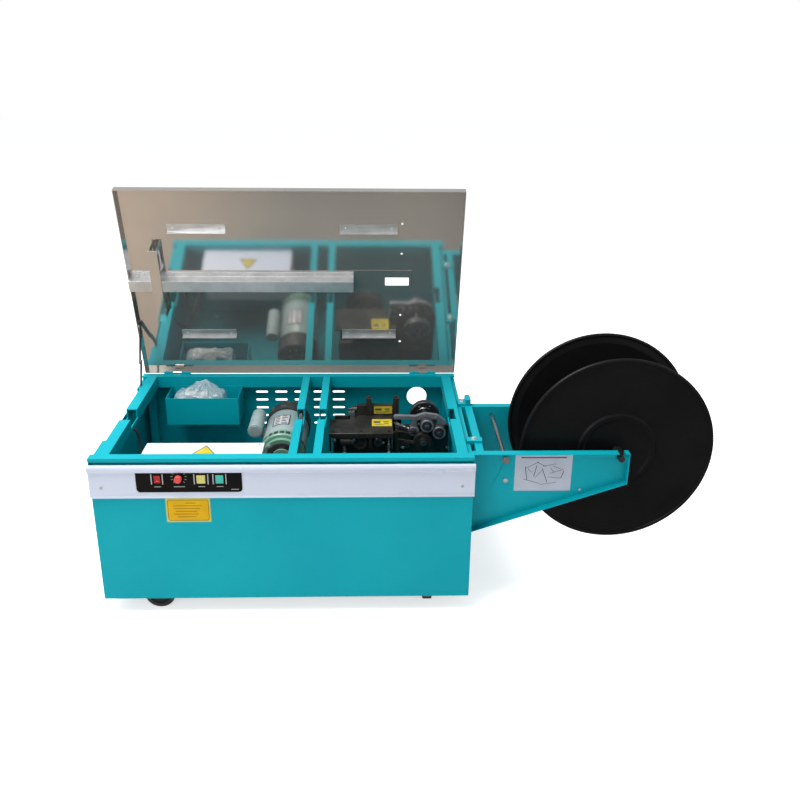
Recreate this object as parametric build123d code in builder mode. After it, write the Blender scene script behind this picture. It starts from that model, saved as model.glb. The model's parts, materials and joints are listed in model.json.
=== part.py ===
from build123d import *

import os
from math import atan2, cos, degrees, hypot, radians, sin

# Semi-automatic strapping machine with its hinged table top open.
# Millimetres, +Z up. The front faces -Y, the strap reel stands at the +X end.
# Inside the cabinet, x is counted from its left side, y from its front and z from the floor.

# ---------------------------------------------------------------- driving sizes
cabinet_width = 900.0
cabinet_depth = 552.0
frame_top = 428.0
panel_bottom = 44.0
sheet = 2.0
running_gap = 0.3
bore_gap = 0.06

rail_width = 25.0
rail_height = 34.0
rail_wall = 3.0
side_rail_inset = 16.0
side_rail_width = 28.0
crossbar_width = 20.0
post_size = 20.0
notch_depth = 24.0

strap_line = 256.0
strap_notch = 68.0

lid_angle = 75.3
lid_left = 5.0
lid_shortfall = 4.0
lid_overhang = 14.8
lid_skirt = 20.0
lid_sheet = 1.5
hinge_rise = 3.8
hinge_radius = 3.5

trim_overhang = 3.0
trim_height = 85.0
gland_reach = 10.0
knob_reach = 19.0

wheel_radius = 37.5
wheel_width = 23.0
wheel_trail = 25.0
caster_room = 21.0
caster_from_front = 38.0
caster_from_left = 104.0

motor_radius = 58.0
pulley_radius = 29.0
driven_radius = 64.0
shaft_radius = 9.0

reel_radius = 240.0
reel_width = 189.0
reel_bore = 8.1
axle_radius = 8.0
arm_length = 379.0
arm_flange = 19.5
axle_from_cabinet = 360.8
axle_drop = 27.2

# ---------------------------------------------------------------- places worked out from them
right = cabinet_width
back = cabinet_depth
top = frame_top
caster_height = 2 * wheel_radius + caster_room
floor_plate = caster_height + sheet
lid_width = cabinet_width - lid_shortfall
hinge_y = back - 2.2
hinge_z = top + hinge_rise
lid_depth = hinge_y + lid_overhang
lid_rear = hinge_y + lid_skirt * sin(radians(lid_angle))
axle_x = right + axle_from_cabinet
axle_z = top - axle_drop
crossbar_a = right - 438
crossbar_b = right - 380
motor_x = crossbar_a - 35
motor_z = top - 98
head_x = right - 354
notch = (strap_line - strap_notch / 2, strap_line + strap_notch / 2)

left = -(axle_x + reel_radius - gland_reach) / 2
front = -(lid_rear - knob_reach) / 2
cabinet = Plane((left, front, 0))
table = Plane(
    (left, front + hinge_y, hinge_z),
    x_dir=(1, 0, 0),
    z_dir=(0, -sin(radians(lid_angle)), -cos(radians(lid_angle))),
)


def elevation(y):
    """Plane seen from the front: x to the right, z up, extruding towards the front."""
    return Plane((left, front + y, 0), x_dir=(1, 0, 0), z_dir=(0, -1, 0))


def side(x):
    """Plane seen from the right: y to the right, z up, extruding towards the right."""
    return Plane((left + x, front, 0), x_dir=(0, 1, 0), z_dir=(1, 0, 0))


def block(x, y, z, mode=Mode.ADD):
    """A box between two limits on each axis of the current workplane."""
    with Locations((sum(x) / 2, sum(y) / 2, sum(z) / 2)):
        Box(x[1] - x[0], y[1] - y[0], z[1] - z[0], mode=mode)


def rod_x(x, y, z, radius, mode=Mode.ADD):
    with Locations((sum(x) / 2, y, z)):
        Cylinder(radius, x[1] - x[0], rotation=(0, 90, 0), mode=mode)


def rod_y(x, y, z, radius, mode=Mode.ADD):
    with Locations((x, sum(y) / 2, z)):
        Cylinder(radius, y[1] - y[0], rotation=(90, 0, 0), mode=mode)


def rod_z(x, y, z, radius, mode=Mode.ADD):
    with Locations((x, y, sum(z) / 2)):
        Cylinder(radius, z[1] - z[0], mode=mode)


def hollow(x, y, z, wall, open_top=True):
    """A thin-walled box, open at the top unless told otherwise."""
    block(x, y, z)
    lid = 0 if open_top else wall
    block((x[0] + wall, x[1] - wall), (y[0] + wall, y[1] - wall), (z[0] + wall, z[1] - lid), Mode.SUBTRACT)


def links(points, width):
    """Rounded bars from point to point, drawn in the current sketch."""
    for (ax, ay), (bx, by) in zip(points, points[1:]):
        angle = degrees(atan2(by - ay, bx - ax))
        with Locations(((ax + bx) / 2, (ay + by) / 2)):
            SlotCenterToCenter(hypot(bx - ax, by - ay), width, rotation=angle)


os.makedirs("parts", exist_ok=True)


def save(builder, name):
    builder.part.label = name
    export_step(builder.part, f"parts/{name}.step")


# ---------------------------------------------------------------- cabinet frame
side_rails = (
    (side_rail_inset, side_rail_inset + side_rail_width),
    (right - 13 - 26, right - 13),
)
crossbars = tuple((x, x + crossbar_width) for x in (crossbar_a, crossbar_b))
rear_rail = (back - rail_width, back)
post_x = (side_rail_inset, right - 13 - post_size)
post_y = (rail_width - rail_wall, back - rail_width - post_size + rail_wall)

with BuildPart(cabinet) as top_frame:
    for y in ((0, rail_width), rear_rail):
        block((0, right), y, (top - rail_wall, top))
    block((0, right), (0, rail_wall), (top - 10, top - rail_wall))
    between = (sheet, right - sheet)
    block(between, (8, 10), (top - 30, top - rail_wall))
    block(between, (rail_width - rail_wall, rail_width), (top - rail_height, top - rail_wall))
    block(between, (back - rail_width, back - rail_width + rail_wall), (top - rail_height, top))
    block(between, (back - 5, back - sheet), (top - rail_height, top))
    for x in (*side_rails, *crossbars):
        block(x, (rail_width, back - rail_width), (top - rail_wall, top))
        block((x[0], x[0] + rail_wall), (rail_width, back - rail_width), (top - rail_height, top))
        block((x[1] - rail_wall, x[1]), (rail_width, back - rail_width), (top - rail_height, top))
    for x in (side_rails[0], *crossbars):
        block(x, notch, (top - notch_depth, top), Mode.SUBTRACT)
    block((side_rails[1][0], side_rails[1][0] + 15), notch, (top - notch_depth, top), Mode.SUBTRACT)
    for x in post_x:
        for y in post_y:
            block((x, x + post_size), (y, y + post_size), (floor_plate, top - rail_height))
            inner = (x + sheet, x + post_size - sheet)
            block(inner, (y + sheet, y + post_size - sheet), (floor_plate, top - rail_height), Mode.SUBTRACT)
save(top_frame, "top_frame")

# ---------------------------------------------------------------- casters
# Each caster: swivel point and the direction in which its wheel trails.
casters = {
    "front_left": (caster_from_left, caster_from_front, 1, 0),
    "front_right": (right - 101, caster_from_front, 0, 1),
    "rear_left": (caster_from_left, back - caster_from_front, 0, -1),
    "rear_right": (right - 101, back - caster_from_front, 1, 0),
}
stem_radius = 6.0
wheel_axle = 4.0
for name, (x, y, dx, dy) in casters.items():
    upright = Plane((left + x, front + y, 0), x_dir=(dx, dy, 0), z_dir=(dy, -dx, 0))
    with BuildPart(Plane((left + x, front + y, 0), x_dir=(dx, dy, 0), z_dir=(0, 0, 1))) as fork:
        rod_z(0, 0, (caster_height - 10, caster_height - running_gap), 24)
        rod_z(0, 0, (caster_height - running_gap, floor_plate + 5), stem_radius)
        for start in (14, -17):
            with BuildSketch(upright.offset(start)):
                with BuildLine():
                    Polyline(
                        (-14, caster_height - 6),
                        (17, caster_height - 6),
                        (wheel_trail + 8, wheel_radius),
                        (wheel_trail + 4, wheel_radius - 8),
                        (wheel_trail - 4, wheel_radius - 8),
                        (wheel_trail - 10, wheel_radius + 4),
                        close=True,
                    )
                make_face()
            extrude(amount=3)
        with BuildSketch(upright):
            with Locations((wheel_trail, wheel_radius)):
                Circle(wheel_axle)
        extrude(amount=19, both=True)
    save(fork, f"caster_fork_{name}")
    with BuildPart() as wheel:
        with BuildSketch(upright):
            with Locations((wheel_trail, wheel_radius)):
                Circle(wheel_radius)
        extrude(amount=wheel_width / 2, both=True)
        fillet(wheel.edges().filter_by(GeomType.CIRCLE), 3)
        for start in (wheel_width / 2, -wheel_width / 2):
            with BuildSketch(upright.offset(start)):
                with Locations((wheel_trail, wheel_radius)):
                    Circle(wheel_radius - 11)
                    Circle(10, mode=Mode.SUBTRACT)
            extrude(amount=-4 if start > 0 else 4, mode=Mode.SUBTRACT)
        with BuildSketch(upright):
            with Locations((wheel_trail, wheel_radius)):
                Circle(wheel_axle + bore_gap)
        extrude(amount=wheel_width, both=True, mode=Mode.SUBTRACT)
    save(wheel, f"caster_wheel_{name}")

with BuildPart(cabinet) as base_plate:
    block((sheet, right - sheet), (sheet, back - sheet), (caster_height, floor_plate))
    for x, y, _, _ in casters.values():
        rod_z(x, y, (caster_height, floor_plate), stem_radius + bore_gap, Mode.SUBTRACT)
    stand = (motor_x - 50, motor_x + 50)
    stand_top = motor_z - motor_radius - 6
    block(stand, (225, 345), (floor_plate, stand_top))
    block((stand[0] + 3, stand[1] - 3), (225, 345), (floor_plate, stand_top - 3), Mode.SUBTRACT)
save(base_plate, "base_plate")

# ---------------------------------------------------------------- cabinet panels
front_label = ((171, 276), (top - 168, top - 104))
switch_z = top - 51
# Each switch: middle x, opening width and height of its bezel.
switches = {"rocker": (157.6, 15, 24), "yellow": (260, 21, 21), "green": (303, 19, 21)}
bezel_wall = 1.2
knob_place = (208, top - 47.5)
knob_shaft = 3.0
pot_hole = 4.0


def cut_switch_holes():
    """Holes through the front for the three switch sleeves and the knob's shaft."""
    for x, width, height in switches.values():
        half = width / 2 + bezel_wall + 0.1
        tall = height / 2 + bezel_wall + 0.1
        block((x - half, x + half), (-10, sheet + 1), (switch_z - tall, switch_z + tall), Mode.SUBTRACT)
    rod_y(knob_place[0], (-10, sheet + 1), knob_place[1], pot_hole, Mode.SUBTRACT)


with BuildPart(cabinet) as front_panel:
    block((0, right), (0, sheet), (panel_bottom, top - 18))
    block((sheet, right - sheet), (sheet, 14), (panel_bottom, panel_bottom + sheet))
    cut_switch_holes()
save(front_panel, "front_panel")

stay_pivot = (back - 124, top - 78.5)
stay_stud = 4.0
gland_y = 300.0
gland_z = top - 60
side_rise = top - 12
with BuildPart(cabinet) as left_panel:
    with BuildSketch(side(0)):
        with BuildLine():
            Polyline(
                (sheet, panel_bottom),
                (back - sheet, panel_bottom),
                (back - sheet, side_rise),
                (back - 87, side_rise),
                (back - 87, side_rise - 20),
                (125, side_rise - 20),
                (125, side_rise),
                (sheet, side_rise),
                close=True,
            )
        make_face()
        with Locations((gland_y, gland_z)):
            Circle(8, mode=Mode.SUBTRACT)
    extrude(amount=sheet)
    block((sheet, side_rail_inset), (rail_width, 125), (side_rise - sheet, side_rise))
    block((sheet, side_rail_inset), (back - 87, back - rail_width), (side_rise - sheet, side_rise))
    block((sheet, 14), (14, back - 14), (panel_bottom, panel_bottom + sheet))
    rod_x((sheet, 12.7), *stay_pivot, 8)
    rod_x((12.7, 15.7), *stay_pivot, stay_stud)
save(left_panel, "left_panel")

strap_inlet = ((150, 200), (top - 108, top - 84))
with BuildPart(cabinet) as right_panel:
    block((right - sheet, right), (sheet, back - sheet), (panel_bottom, side_rise))
    block((right - 13, right - sheet), (rail_width, back - rail_width), (side_rise - sheet, side_rise))
    block((right - 14, right - sheet), (14, back - 14), (panel_bottom, panel_bottom + sheet))
    block((right - 3, right + 1), *strap_inlet, Mode.SUBTRACT)
save(right_panel, "right_panel")

louvre = (35.0, 6.0)
louvre_pitch = (56.1, 24.9)
cable_hole_radius = 29.0
cable_hole = (right - 108.0, top - 71.5)
with BuildPart(cabinet) as rear_panel:
    block((0, right), (back - sheet, back), (panel_bottom, top - rail_wall))
    block((14, right - 14), (back - 14, back - sheet), (panel_bottom, panel_bottom + sheet))
    with BuildSketch(elevation(back)):
        with Locations((right - 449.6, top - 106.5)):
            with GridLocations(*louvre_pitch, 5, 5):
                SlotOverall(*louvre)
        with Locations(cable_hole):
            Circle(cable_hole_radius)
    extrude(amount=sheet, mode=Mode.SUBTRACT)
save(rear_panel, "rear_panel")

# ---------------------------------------------------------------- front trim and controls
trim_top = top - 16
trim_foot = trim_top - trim_height
trim_face = -2.0
with BuildPart() as front_trim:
    with BuildSketch(side(-trim_overhang)):
        with BuildLine():
            Polyline((0, trim_foot), (0, trim_top), (-4, trim_top))
            ThreePointArc((-4, trim_top), (-8.5, trim_top - 9), (-5, trim_top - 19))
            Polyline((-5, trim_top - 19), (trim_face, trim_top - 19), (trim_face, trim_foot + 8))
            ThreePointArc((trim_face, trim_foot + 8), (-3, trim_foot + 3), (-5.5, trim_foot))
            Line((-5.5, trim_foot), (0, trim_foot))
        make_face()
    extrude(amount=right + 2 * trim_overhang)
    with Locations(cabinet):
        cut_switch_holes()
save(front_trim, "front_trim")

fascia_x = (107.6, 354.5)
fascia_z = (top - 86, top - 35.5)
fascia_face = trim_face - 1.5
bezel_face = fascia_face - 2
with BuildPart(cabinet) as control_fascia:
    with BuildSketch(elevation(trim_face)) as outline:
        with Locations((sum(fascia_x) / 2, sum(fascia_z) / 2)):
            Rectangle(fascia_x[1] - fascia_x[0], fascia_z[1] - fascia_z[0])
        fillet(outline.vertices().group_by(Axis.Y)[0], 9)
    extrude(amount=trim_face - fascia_face)
    for x, width, height in switches.values():
        for bar in (x - width / 2 - 5.5, x + width / 2 + 5.5):
            block((bar - 1.2, bar + 1.2), (fascia_face - 2, fascia_face), (switch_z - 13, switch_z + 13))
    cut_switch_holes()
save(control_fascia, "control_fascia")

pot_depth = (4, 14)
with BuildPart(cabinet) as switch_bezels:
    for x, width, height in switches.values():
        for grow, y in ((3, (bezel_face, fascia_face)), (bezel_wall, (fascia_face, 16))):
            x_limits = (x - width / 2 - grow, x + width / 2 + grow)
            block(x_limits, y, (switch_z - height / 2 - grow, switch_z + height / 2 + grow))
        x_limits = (x - width / 2, x + width / 2)
        block(x_limits, (bezel_face, 14), (switch_z - height / 2, switch_z + height / 2), Mode.SUBTRACT)
    rod_y(knob_place[0], pot_depth, knob_place[1], 10)
    rod_y(knob_place[0], (sheet, pot_depth[0]), knob_place[1], 6)
    rod_y(knob_place[0], (sheet, pot_depth[1]), knob_place[1], knob_shaft + bore_gap, Mode.SUBTRACT)
save(switch_bezels, "switch_bezels")

rocker_x, rocker_width, rocker_height = switches["rocker"]
rocker_pivot_y = 1.0
with BuildPart() as rocker_switch:
    with BuildSketch(side(rocker_x - rocker_width / 2 + running_gap)):
        with Locations((rocker_pivot_y, switch_z)):
            Polygon((-8, 10), (-4.8, 0), (-6.6, -10), (3, -8), (5, 0), (3, 8), align=None)
    extrude(amount=rocker_width - 2 * running_gap)
save(rocker_switch, "rocker_switch")

with BuildPart(cabinet) as tension_knob:
    rod_y(knob_place[0], (-knob_reach, fascia_face - 4), knob_place[1], 8.5)
    fillet(tension_knob.edges().sort_by(Axis.Y)[0], 2)
    rod_y(knob_place[0], (fascia_face - 4, fascia_face - running_gap), knob_place[1], 11.2)
    rod_y(knob_place[0], (fascia_face - running_gap, pot_depth[1] - 2), knob_place[1], knob_shaft)
    block(
        (knob_place[0] - 0.8, knob_place[0] + 0.8),
        (-knob_reach - 1, -knob_reach + 1),
        (knob_place[1], knob_place[1] + 12),
        Mode.SUBTRACT,
    )
save(tension_knob, "tension_knob")

button_front = -9.0
button_rear = 9.0
for name in ("yellow", "green"):
    x, width, height = switches[name]
    with BuildPart(cabinet) as button:
        half, tall = width / 2 - running_gap, height / 2 - running_gap
        block((x - half, x + half), (button_front, button_rear), (switch_z - tall, switch_z + tall))
        fillet(button.faces().sort_by(Axis.Y)[0].edges(), 1.5)
    save(button, f"{name}_button")

arm_y = (54.0, 328.0)
arm_label = ((right + 106, right + 245), (top - 118, top - 18))
with BuildPart(cabinet) as labels:
    block(front_label[0], (-0.5, 0), front_label[1])
    block(arm_label[0], (arm_y[0] - 0.5, arm_y[0]), arm_label[1])
save(labels, "labels")

# ---------------------------------------------------------------- tray, bag and electrical box
tray_x = (85, motor_x - 140)
tray_y = (back - 122, back - rail_width)
tray_z = (top - 108, top - 28)
tray_wall = 1.5
with BuildPart(cabinet) as tool_tray:
    hollow(tray_x, tray_y, tray_z, tray_wall)
save(tool_tray, "tool_tray")

bag_x = (tray_x[0] + 4, tray_x[1] - 38)
bag_top = top - 6
with BuildPart() as parts_bag:
    with BuildSketch(elevation(tray_y[1] - 12)):
        with BuildLine():
            Polyline(
                (bag_x[0], tray_z[0] + tray_wall + running_gap),
                (bag_x[1], tray_z[0] + tray_wall + running_gap),
                (bag_x[1], tray_z[1] + 2),
                (bag_x[1] - 32, bag_top),
                (bag_x[1] - 62, bag_top),
                (bag_x[0] + 12, tray_z[1] + 2),
                (bag_x[0], tray_z[1] - 20),
                close=True,
            )
        make_face()
    extrude(amount=tray_y[1] - tray_y[0] - 24)
save(parts_bag, "parts_bag")

box_x = (107, motor_x - 34)
box_y = (rail_width, 131)
box_z = (top - 150, top - 25)
with BuildPart(cabinet) as electrical_box:
    hollow(box_x, box_y, box_z, tray_wall)
save(electrical_box, "electrical_box")

with BuildPart(cabinet) as box_cover:
    block(box_x, box_y, (box_z[1], box_z[1] + 2))
    for x in (box_x[0], box_x[1] - 0):
        edge = (x - 1.2, x) if x == box_x[0] else (x, x + 1.2)
        block(edge, box_y, (box_z[1] - 10, box_z[1] + 2))
    block((box_x[0] - 1.2, box_x[1] + 1.2), (box_y[1], box_y[1] + 1.2), (box_z[1] - 10, box_z[1] + 2))
save(box_cover, "box_cover")

# ---------------------------------------------------------------- supply gland and inner lead
lead_radius = 3.5
with BuildPart(cabinet) as cable_gland:
    rod_x((-3, 0), gland_y, gland_z, 12)
    rod_x((-gland_reach, -3), gland_y, gland_z, 10)
    rod_x((0, sheet), gland_y, gland_z, 8)
    rod_x((sheet, 8), gland_y, gland_z, 11)
    rod_x((-gland_reach, 2), gland_y, gland_z, lead_radius, Mode.SUBTRACT)
save(cable_gland, "cable_gland")

lead_route = (
    (8, gland_y, gland_z),
    (34, gland_y, gland_z),
    (44, gland_y - 8, gland_z - 44),
    (48, gland_y - 32, gland_z - 82),
    (56, gland_y - 76, gland_z - 104),
    (68, gland_y - 130, gland_z - 102),
    (76, gland_y - 176, gland_z - 84),
    (84, 100, gland_z - 72),
    (box_x[0], 100, gland_z - 72),
)


def bend_radii(points):
    """The largest arc that each corner's two runs allow."""
    radii = []
    for before, corner, after in zip(points, points[1:], points[2:]):
        inward = Vector(*corner) - Vector(*before)
        outward = Vector(*after) - Vector(*corner)
        turn = inward.get_angle(outward)
        shorter = min(inward.length, outward.length)
        radii.append(0.45 * shorter / (sin(radians(turn) / 2) / cos(radians(turn) / 2)))
    return radii


lead_points = [(left + x, front + y, z) for x, y, z in lead_route]
lead_radii = bend_radii(lead_points)
print("inner lead bend radii:", [round(radius, 1) for radius in lead_radii])
with BuildPart() as inner_lead:
    with BuildLine() as route:
        FilletPolyline(*lead_points, radius=lead_radii)
    with BuildSketch(Plane(route.line @ 0, z_dir=route.line % 0)):
        Circle(lead_radius)
    sweep()
print("inner lead length:", round(sum(edge.length for edge in route.line.edges()), 1))
save(inner_lead, "inner_lead")

# ---------------------------------------------------------------- motor
motor_y = (240.0, 380.0)
bell_y = (193.0, 240.0)
fan_y = (380.0, 436.0)
pulley_y = (112.0, 138.0)
rotor_radius = 44.0
capacitor_radius = 19.0
capacitor_place = (motor_x - motor_radius - capacitor_radius, motor_z + 39)
with BuildPart(cabinet) as motor_body:
    rod_y(motor_x, motor_y, motor_z, motor_radius)
    for x in (motor_x - 46, motor_x + 46 - 14):
        block((x, x + 14), (245, 335), (motor_z - motor_radius - 6, motor_z - 30))
    block((motor_x - 46, motor_x + 46), (245, 335), (motor_z - motor_radius - 6, motor_z - motor_radius + 4))
    saddle_x = (motor_x - motor_radius - 22, motor_x - motor_radius + 8)
    block(saddle_x, (300, 344), (motor_z + 12, capacitor_place[1] - capacitor_radius - running_gap))
    rod_y(motor_x, (motor_y[0], motor_y[1] - 4), motor_z, rotor_radius + 1, Mode.SUBTRACT)
    rod_y(motor_x, motor_y, motor_z, shaft_radius + bore_gap, Mode.SUBTRACT)
save(motor_body, "motor_body")

with BuildPart(cabinet) as motor_end_bell:
    rod_y(motor_x, (bell_y[0] + 22, bell_y[1]), motor_z, motor_radius + 2)
    rod_y(motor_x, (bell_y[0] + 8, bell_y[0] + 22), motor_z, motor_radius - 8)
    rod_y(motor_x, (bell_y[0], bell_y[0] + 8), motor_z, 26)
    rim = motor_end_bell.edges().filter_by(GeomType.CIRCLE).group_by(Axis.Y)[2].sort_by(SortBy.RADIUS)[-1]
    fillet(rim, 5)
    rod_y(motor_x, (bell_y[0] + 14, bell_y[1]), motor_z, rotor_radius + 2, Mode.SUBTRACT)
    rod_y(motor_x, bell_y, motor_z, shaft_radius + bore_gap, Mode.SUBTRACT)
    with BuildSketch(elevation(bell_y[0] + 24)):
        with Locations((motor_x, motor_z)):
            with PolarLocations(37, 8, start_angle=22.5):
                SlotOverall(18, 7, rotation=90)
    extrude(amount=20, mode=Mode.SUBTRACT)
save(motor_end_bell, "motor_end_bell")

with BuildPart(cabinet) as fan_cover:
    rod_y(motor_x, fan_y, motor_z, motor_radius + 3)
    fillet(fan_cover.edges().group_by(Axis.Y)[-1], 8)
    rod_y(motor_x, (fan_y[0], fan_y[1] - 2), motor_z, motor_radius, Mode.SUBTRACT)
    with BuildSketch(elevation(fan_y[1])):
        with Locations((motor_x, motor_z)):
            with PolarLocations(30, 12):
                SlotOverall(26, 5)
    extrude(amount=4, mode=Mode.SUBTRACT)
save(fan_cover, "fan_cover")

with BuildPart(cabinet) as capacitor:
    rod_y(capacitor_place[0], (278, 384), capacitor_place[1], capacitor_radius)
    fillet(capacitor.edges().filter_by(GeomType.CIRCLE).group_by(Axis.Y)[0], 2)
save(capacitor, "capacitor")

with BuildPart(cabinet) as motor_shaft:
    rod_y(motor_x, (pulley_y[0] - 4, fan_y[1] - 8), motor_z, shaft_radius)
    rod_y(motor_x, (motor_y[0] + 20, motor_y[1] - 30), motor_z, rotor_radius)
    rod_y(motor_x, (fan_y[0] + 6, fan_y[0] + 34), motor_z, 18)
    with Locations((motor_x, fan_y[0] + 20, motor_z)):
        with Locations(*[Location((0, 0, 0), (0, 60 * turn, 0)) for turn in range(3)]):
            Box(92, 24, 2.5)
save(motor_shaft, "motor_shaft")

belt_width = 11.0
belt_thick = 6.0
belt_y = (sum(pulley_y) / 2 - belt_width / 2, sum(pulley_y) / 2 + belt_width / 2)
head_shaft = (head_x + 91, top - 190)
head_shaft_radius = 10.0


def pulley(x, z, radius, bore):
    """A belt pulley with two flanges, its groove a belt deep, and a hub."""
    rod_y(x, pulley_y, z, radius)
    with BuildSketch(elevation(belt_y[1] + 0.5)) as groove:
        with Locations((x, z)):
            Circle(radius + 1)
            Circle(radius - belt_thick + 1, mode=Mode.SUBTRACT)
    extrude(groove.sketch, amount=belt_width + 1, mode=Mode.SUBTRACT)
    rod_y(x, pulley_y, z, bore, Mode.SUBTRACT)


with BuildPart(cabinet) as motor_pulley:
    pulley(motor_x, motor_z, pulley_radius, shaft_radius)
save(motor_pulley, "motor_pulley")

with BuildPart(cabinet) as driven_pulley:
    pulley(*head_shaft, driven_radius, 5)
    with BuildSketch(elevation(pulley_y[1])):
        with Locations(head_shaft):
            with PolarLocations(driven_radius * 0.58, 5):
                Circle(driven_radius * 0.17)
    extrude(amount=pulley_y[1] - pulley_y[0], mode=Mode.SUBTRACT)
    rod_y(head_shaft[0], (pulley_y[0] - 6, 340), head_shaft[1], head_shaft_radius)
save(driven_pulley, "driven_pulley")

with BuildPart() as drive_belt:
    for grow, mode in ((1 - running_gap, Mode.ADD), (running_gap + 1 - belt_thick, Mode.SUBTRACT)):
        with BuildSketch(elevation(belt_y[1])):
            with BuildLine():
                CenterArc((motor_x, motor_z), pulley_radius + grow, 0, 360)
                CenterArc(head_shaft, driven_radius + grow, 0, 360)
            make_hull()
        extrude(amount=belt_width, mode=mode)
save(drive_belt, "drive_belt")

# ---------------------------------------------------------------- strapping head
cheek_y = ((284, 292), (392, 400))
cheek_top = top - 66
plate_x = (head_x, head_x + 170)
feed_roller_place = (right - 96, top - 33)
pinch_roller_place = (right - 64, top - 52)
guide_wheel_place = (right - 97, top - 45)
lever_pivot = (right - 130, top - 56)
drum_place = (right - 106, top - 78)
roller_gap = 0.8
roller_radius = (hypot(32, 19) - roller_gap) / 2
roller_stud = 5.0
lever_stud = 6.0
guide_wheel_radius = 40.0
roller_plate_x = (head_x + 196, right - 36)
with BuildPart(cabinet) as head_frame:
    for y in cheek_y:
        block((head_x + 10, head_x + 196), y, (floor_plate, cheek_top))
    block((head_x + 10, head_x + 196), (cheek_y[0][0], cheek_y[1][1]), (floor_plate, floor_plate + 8))
    block((head_x + 14, head_x + 196), (262, 284), (top - 148, top - 140))
    block(roller_plate_x, (284, 296), (floor_plate, top - 46))
    for place in (feed_roller_place, guide_wheel_place):
        rod_y(place[0], (284, 296), place[1], 15)
    for place, y, radius in (
        (feed_roller_place, (246, 284), roller_stud),
        (pinch_roller_place, (246, 284), roller_stud),
        (lever_pivot, (266, 284), lever_stud),
        (guide_wheel_place, (296, 368), lever_stud),
        (drum_place, (264, 284), 8),
        (drum_place, (246, 264), 24),
        (drum_place, (242, 246), 12),
    ):
        rod_y(place[0], y, place[1], radius)
    rod_y(head_shaft[0], (284, 292), head_shaft[1], head_shaft_radius + bore_gap, Mode.SUBTRACT)
save(head_frame, "head_frame")

with BuildPart(cabinet) as head_top_plate:
    block(plate_x, (262, 352), (cheek_top, cheek_top + 8))
    block((head_x + 54, head_x + 185), (352, 400), (cheek_top, cheek_top + 8))
    block(plate_x, (260, 262), (cheek_top - 6, cheek_top + 8))
    fillet(head_top_plate.edges().filter_by(Axis.X).group_by(Axis.Y)[0].sort_by(Axis.Z)[-1], 1.5)
save(head_top_plate, "head_top_plate")

with BuildPart(cabinet) as cam_housing:
    block((head_x + 29, head_x + 154), (292, 392), (top - 238, top - 88))
    fillet(cam_housing.edges().filter_by(Axis.Y), 8)
    rod_y(head_shaft[0], (292, 341), head_shaft[1], head_shaft_radius + bore_gap, Mode.SUBTRACT)
save(cam_housing, "cam_housing")

block_z = cheek_top + 8
with BuildPart(cabinet) as rear_block:
    block((head_x + 112, head_x + 175), (380, 400), (block_z, block_z + 28))
    for x in (head_x + 98, head_x + 172):
        block((x, x + 16), (376, 400), (block_z, block_z + 50))
    block((head_x + 72, head_x + 98), (380, 400), (block_z, block_z + 28))
    rod_x((head_x + 58, head_x + 72), 389, block_z + 14, 9)
    rod_x((head_x + 48, head_x + 58), 389, block_z + 14, 5)
save(rear_block, "rear_block")

spring_z = (top - 140, cheek_top)
springs = ((plate_x[1] - 12, 273), (plate_x[0] + 40, 273))
coil_pitch = 8.0
with BuildPart(cabinet) as head_springs:
    for x, y in springs:
        rod_z(x, y, spring_z, 5)
        with Locations((x, y, sum(spring_z) / 2)):
            with GridLocations(0, 0, 1, 1):
                Cylinder(7, coil_pitch * 6)
save(head_springs, "head_springs")

for name, place, y, radius, bore in (
    ("feed_roller", feed_roller_place, (248, 268), roller_radius, roller_stud),
    ("pinch_roller", pinch_roller_place, (248, 268), roller_radius, roller_stud),
    ("guide_wheel", guide_wheel_place, (345, 365), guide_wheel_radius, lever_stud),
):
    with BuildPart(cabinet) as roller:
        rod_y(place[0], y, place[1], radius)
        fillet(roller.edges().filter_by(GeomType.CIRCLE), 1.5)
        for start, amount in ((y[0], -4), (y[1], 4)):
            with BuildSketch(elevation(start)):
                with Locations(place):
                    Circle(radius - 5)
                    Circle(bore + 3, mode=Mode.SUBTRACT)
            extrude(amount=amount, mode=Mode.SUBTRACT)
        rod_y(place[0], y, place[1], bore + bore_gap, Mode.SUBTRACT)
    save(roller, name)

lever_right = (
    lever_pivot,
    (right - 129, top - 22),
    (right - 101, top - 12),
    (right - 70, top - 17),
    (right - 52, top - 32),
)
lever_left = ((right - 129, top - 19), (right - 178, top - 17))
with BuildPart() as lever_arm:
    with BuildSketch(elevation(282)):
        links(lever_right, 13)
        links(lever_left, 10)
        with Locations(lever_pivot):
            Circle(15)
    extrude(amount=12)
    with BuildSketch(elevation(282)):
        with Locations(lever_pivot):
            Circle(lever_stud + bore_gap)
    extrude(amount=12, mode=Mode.SUBTRACT)
save(lever_arm, "lever_arm")

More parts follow.
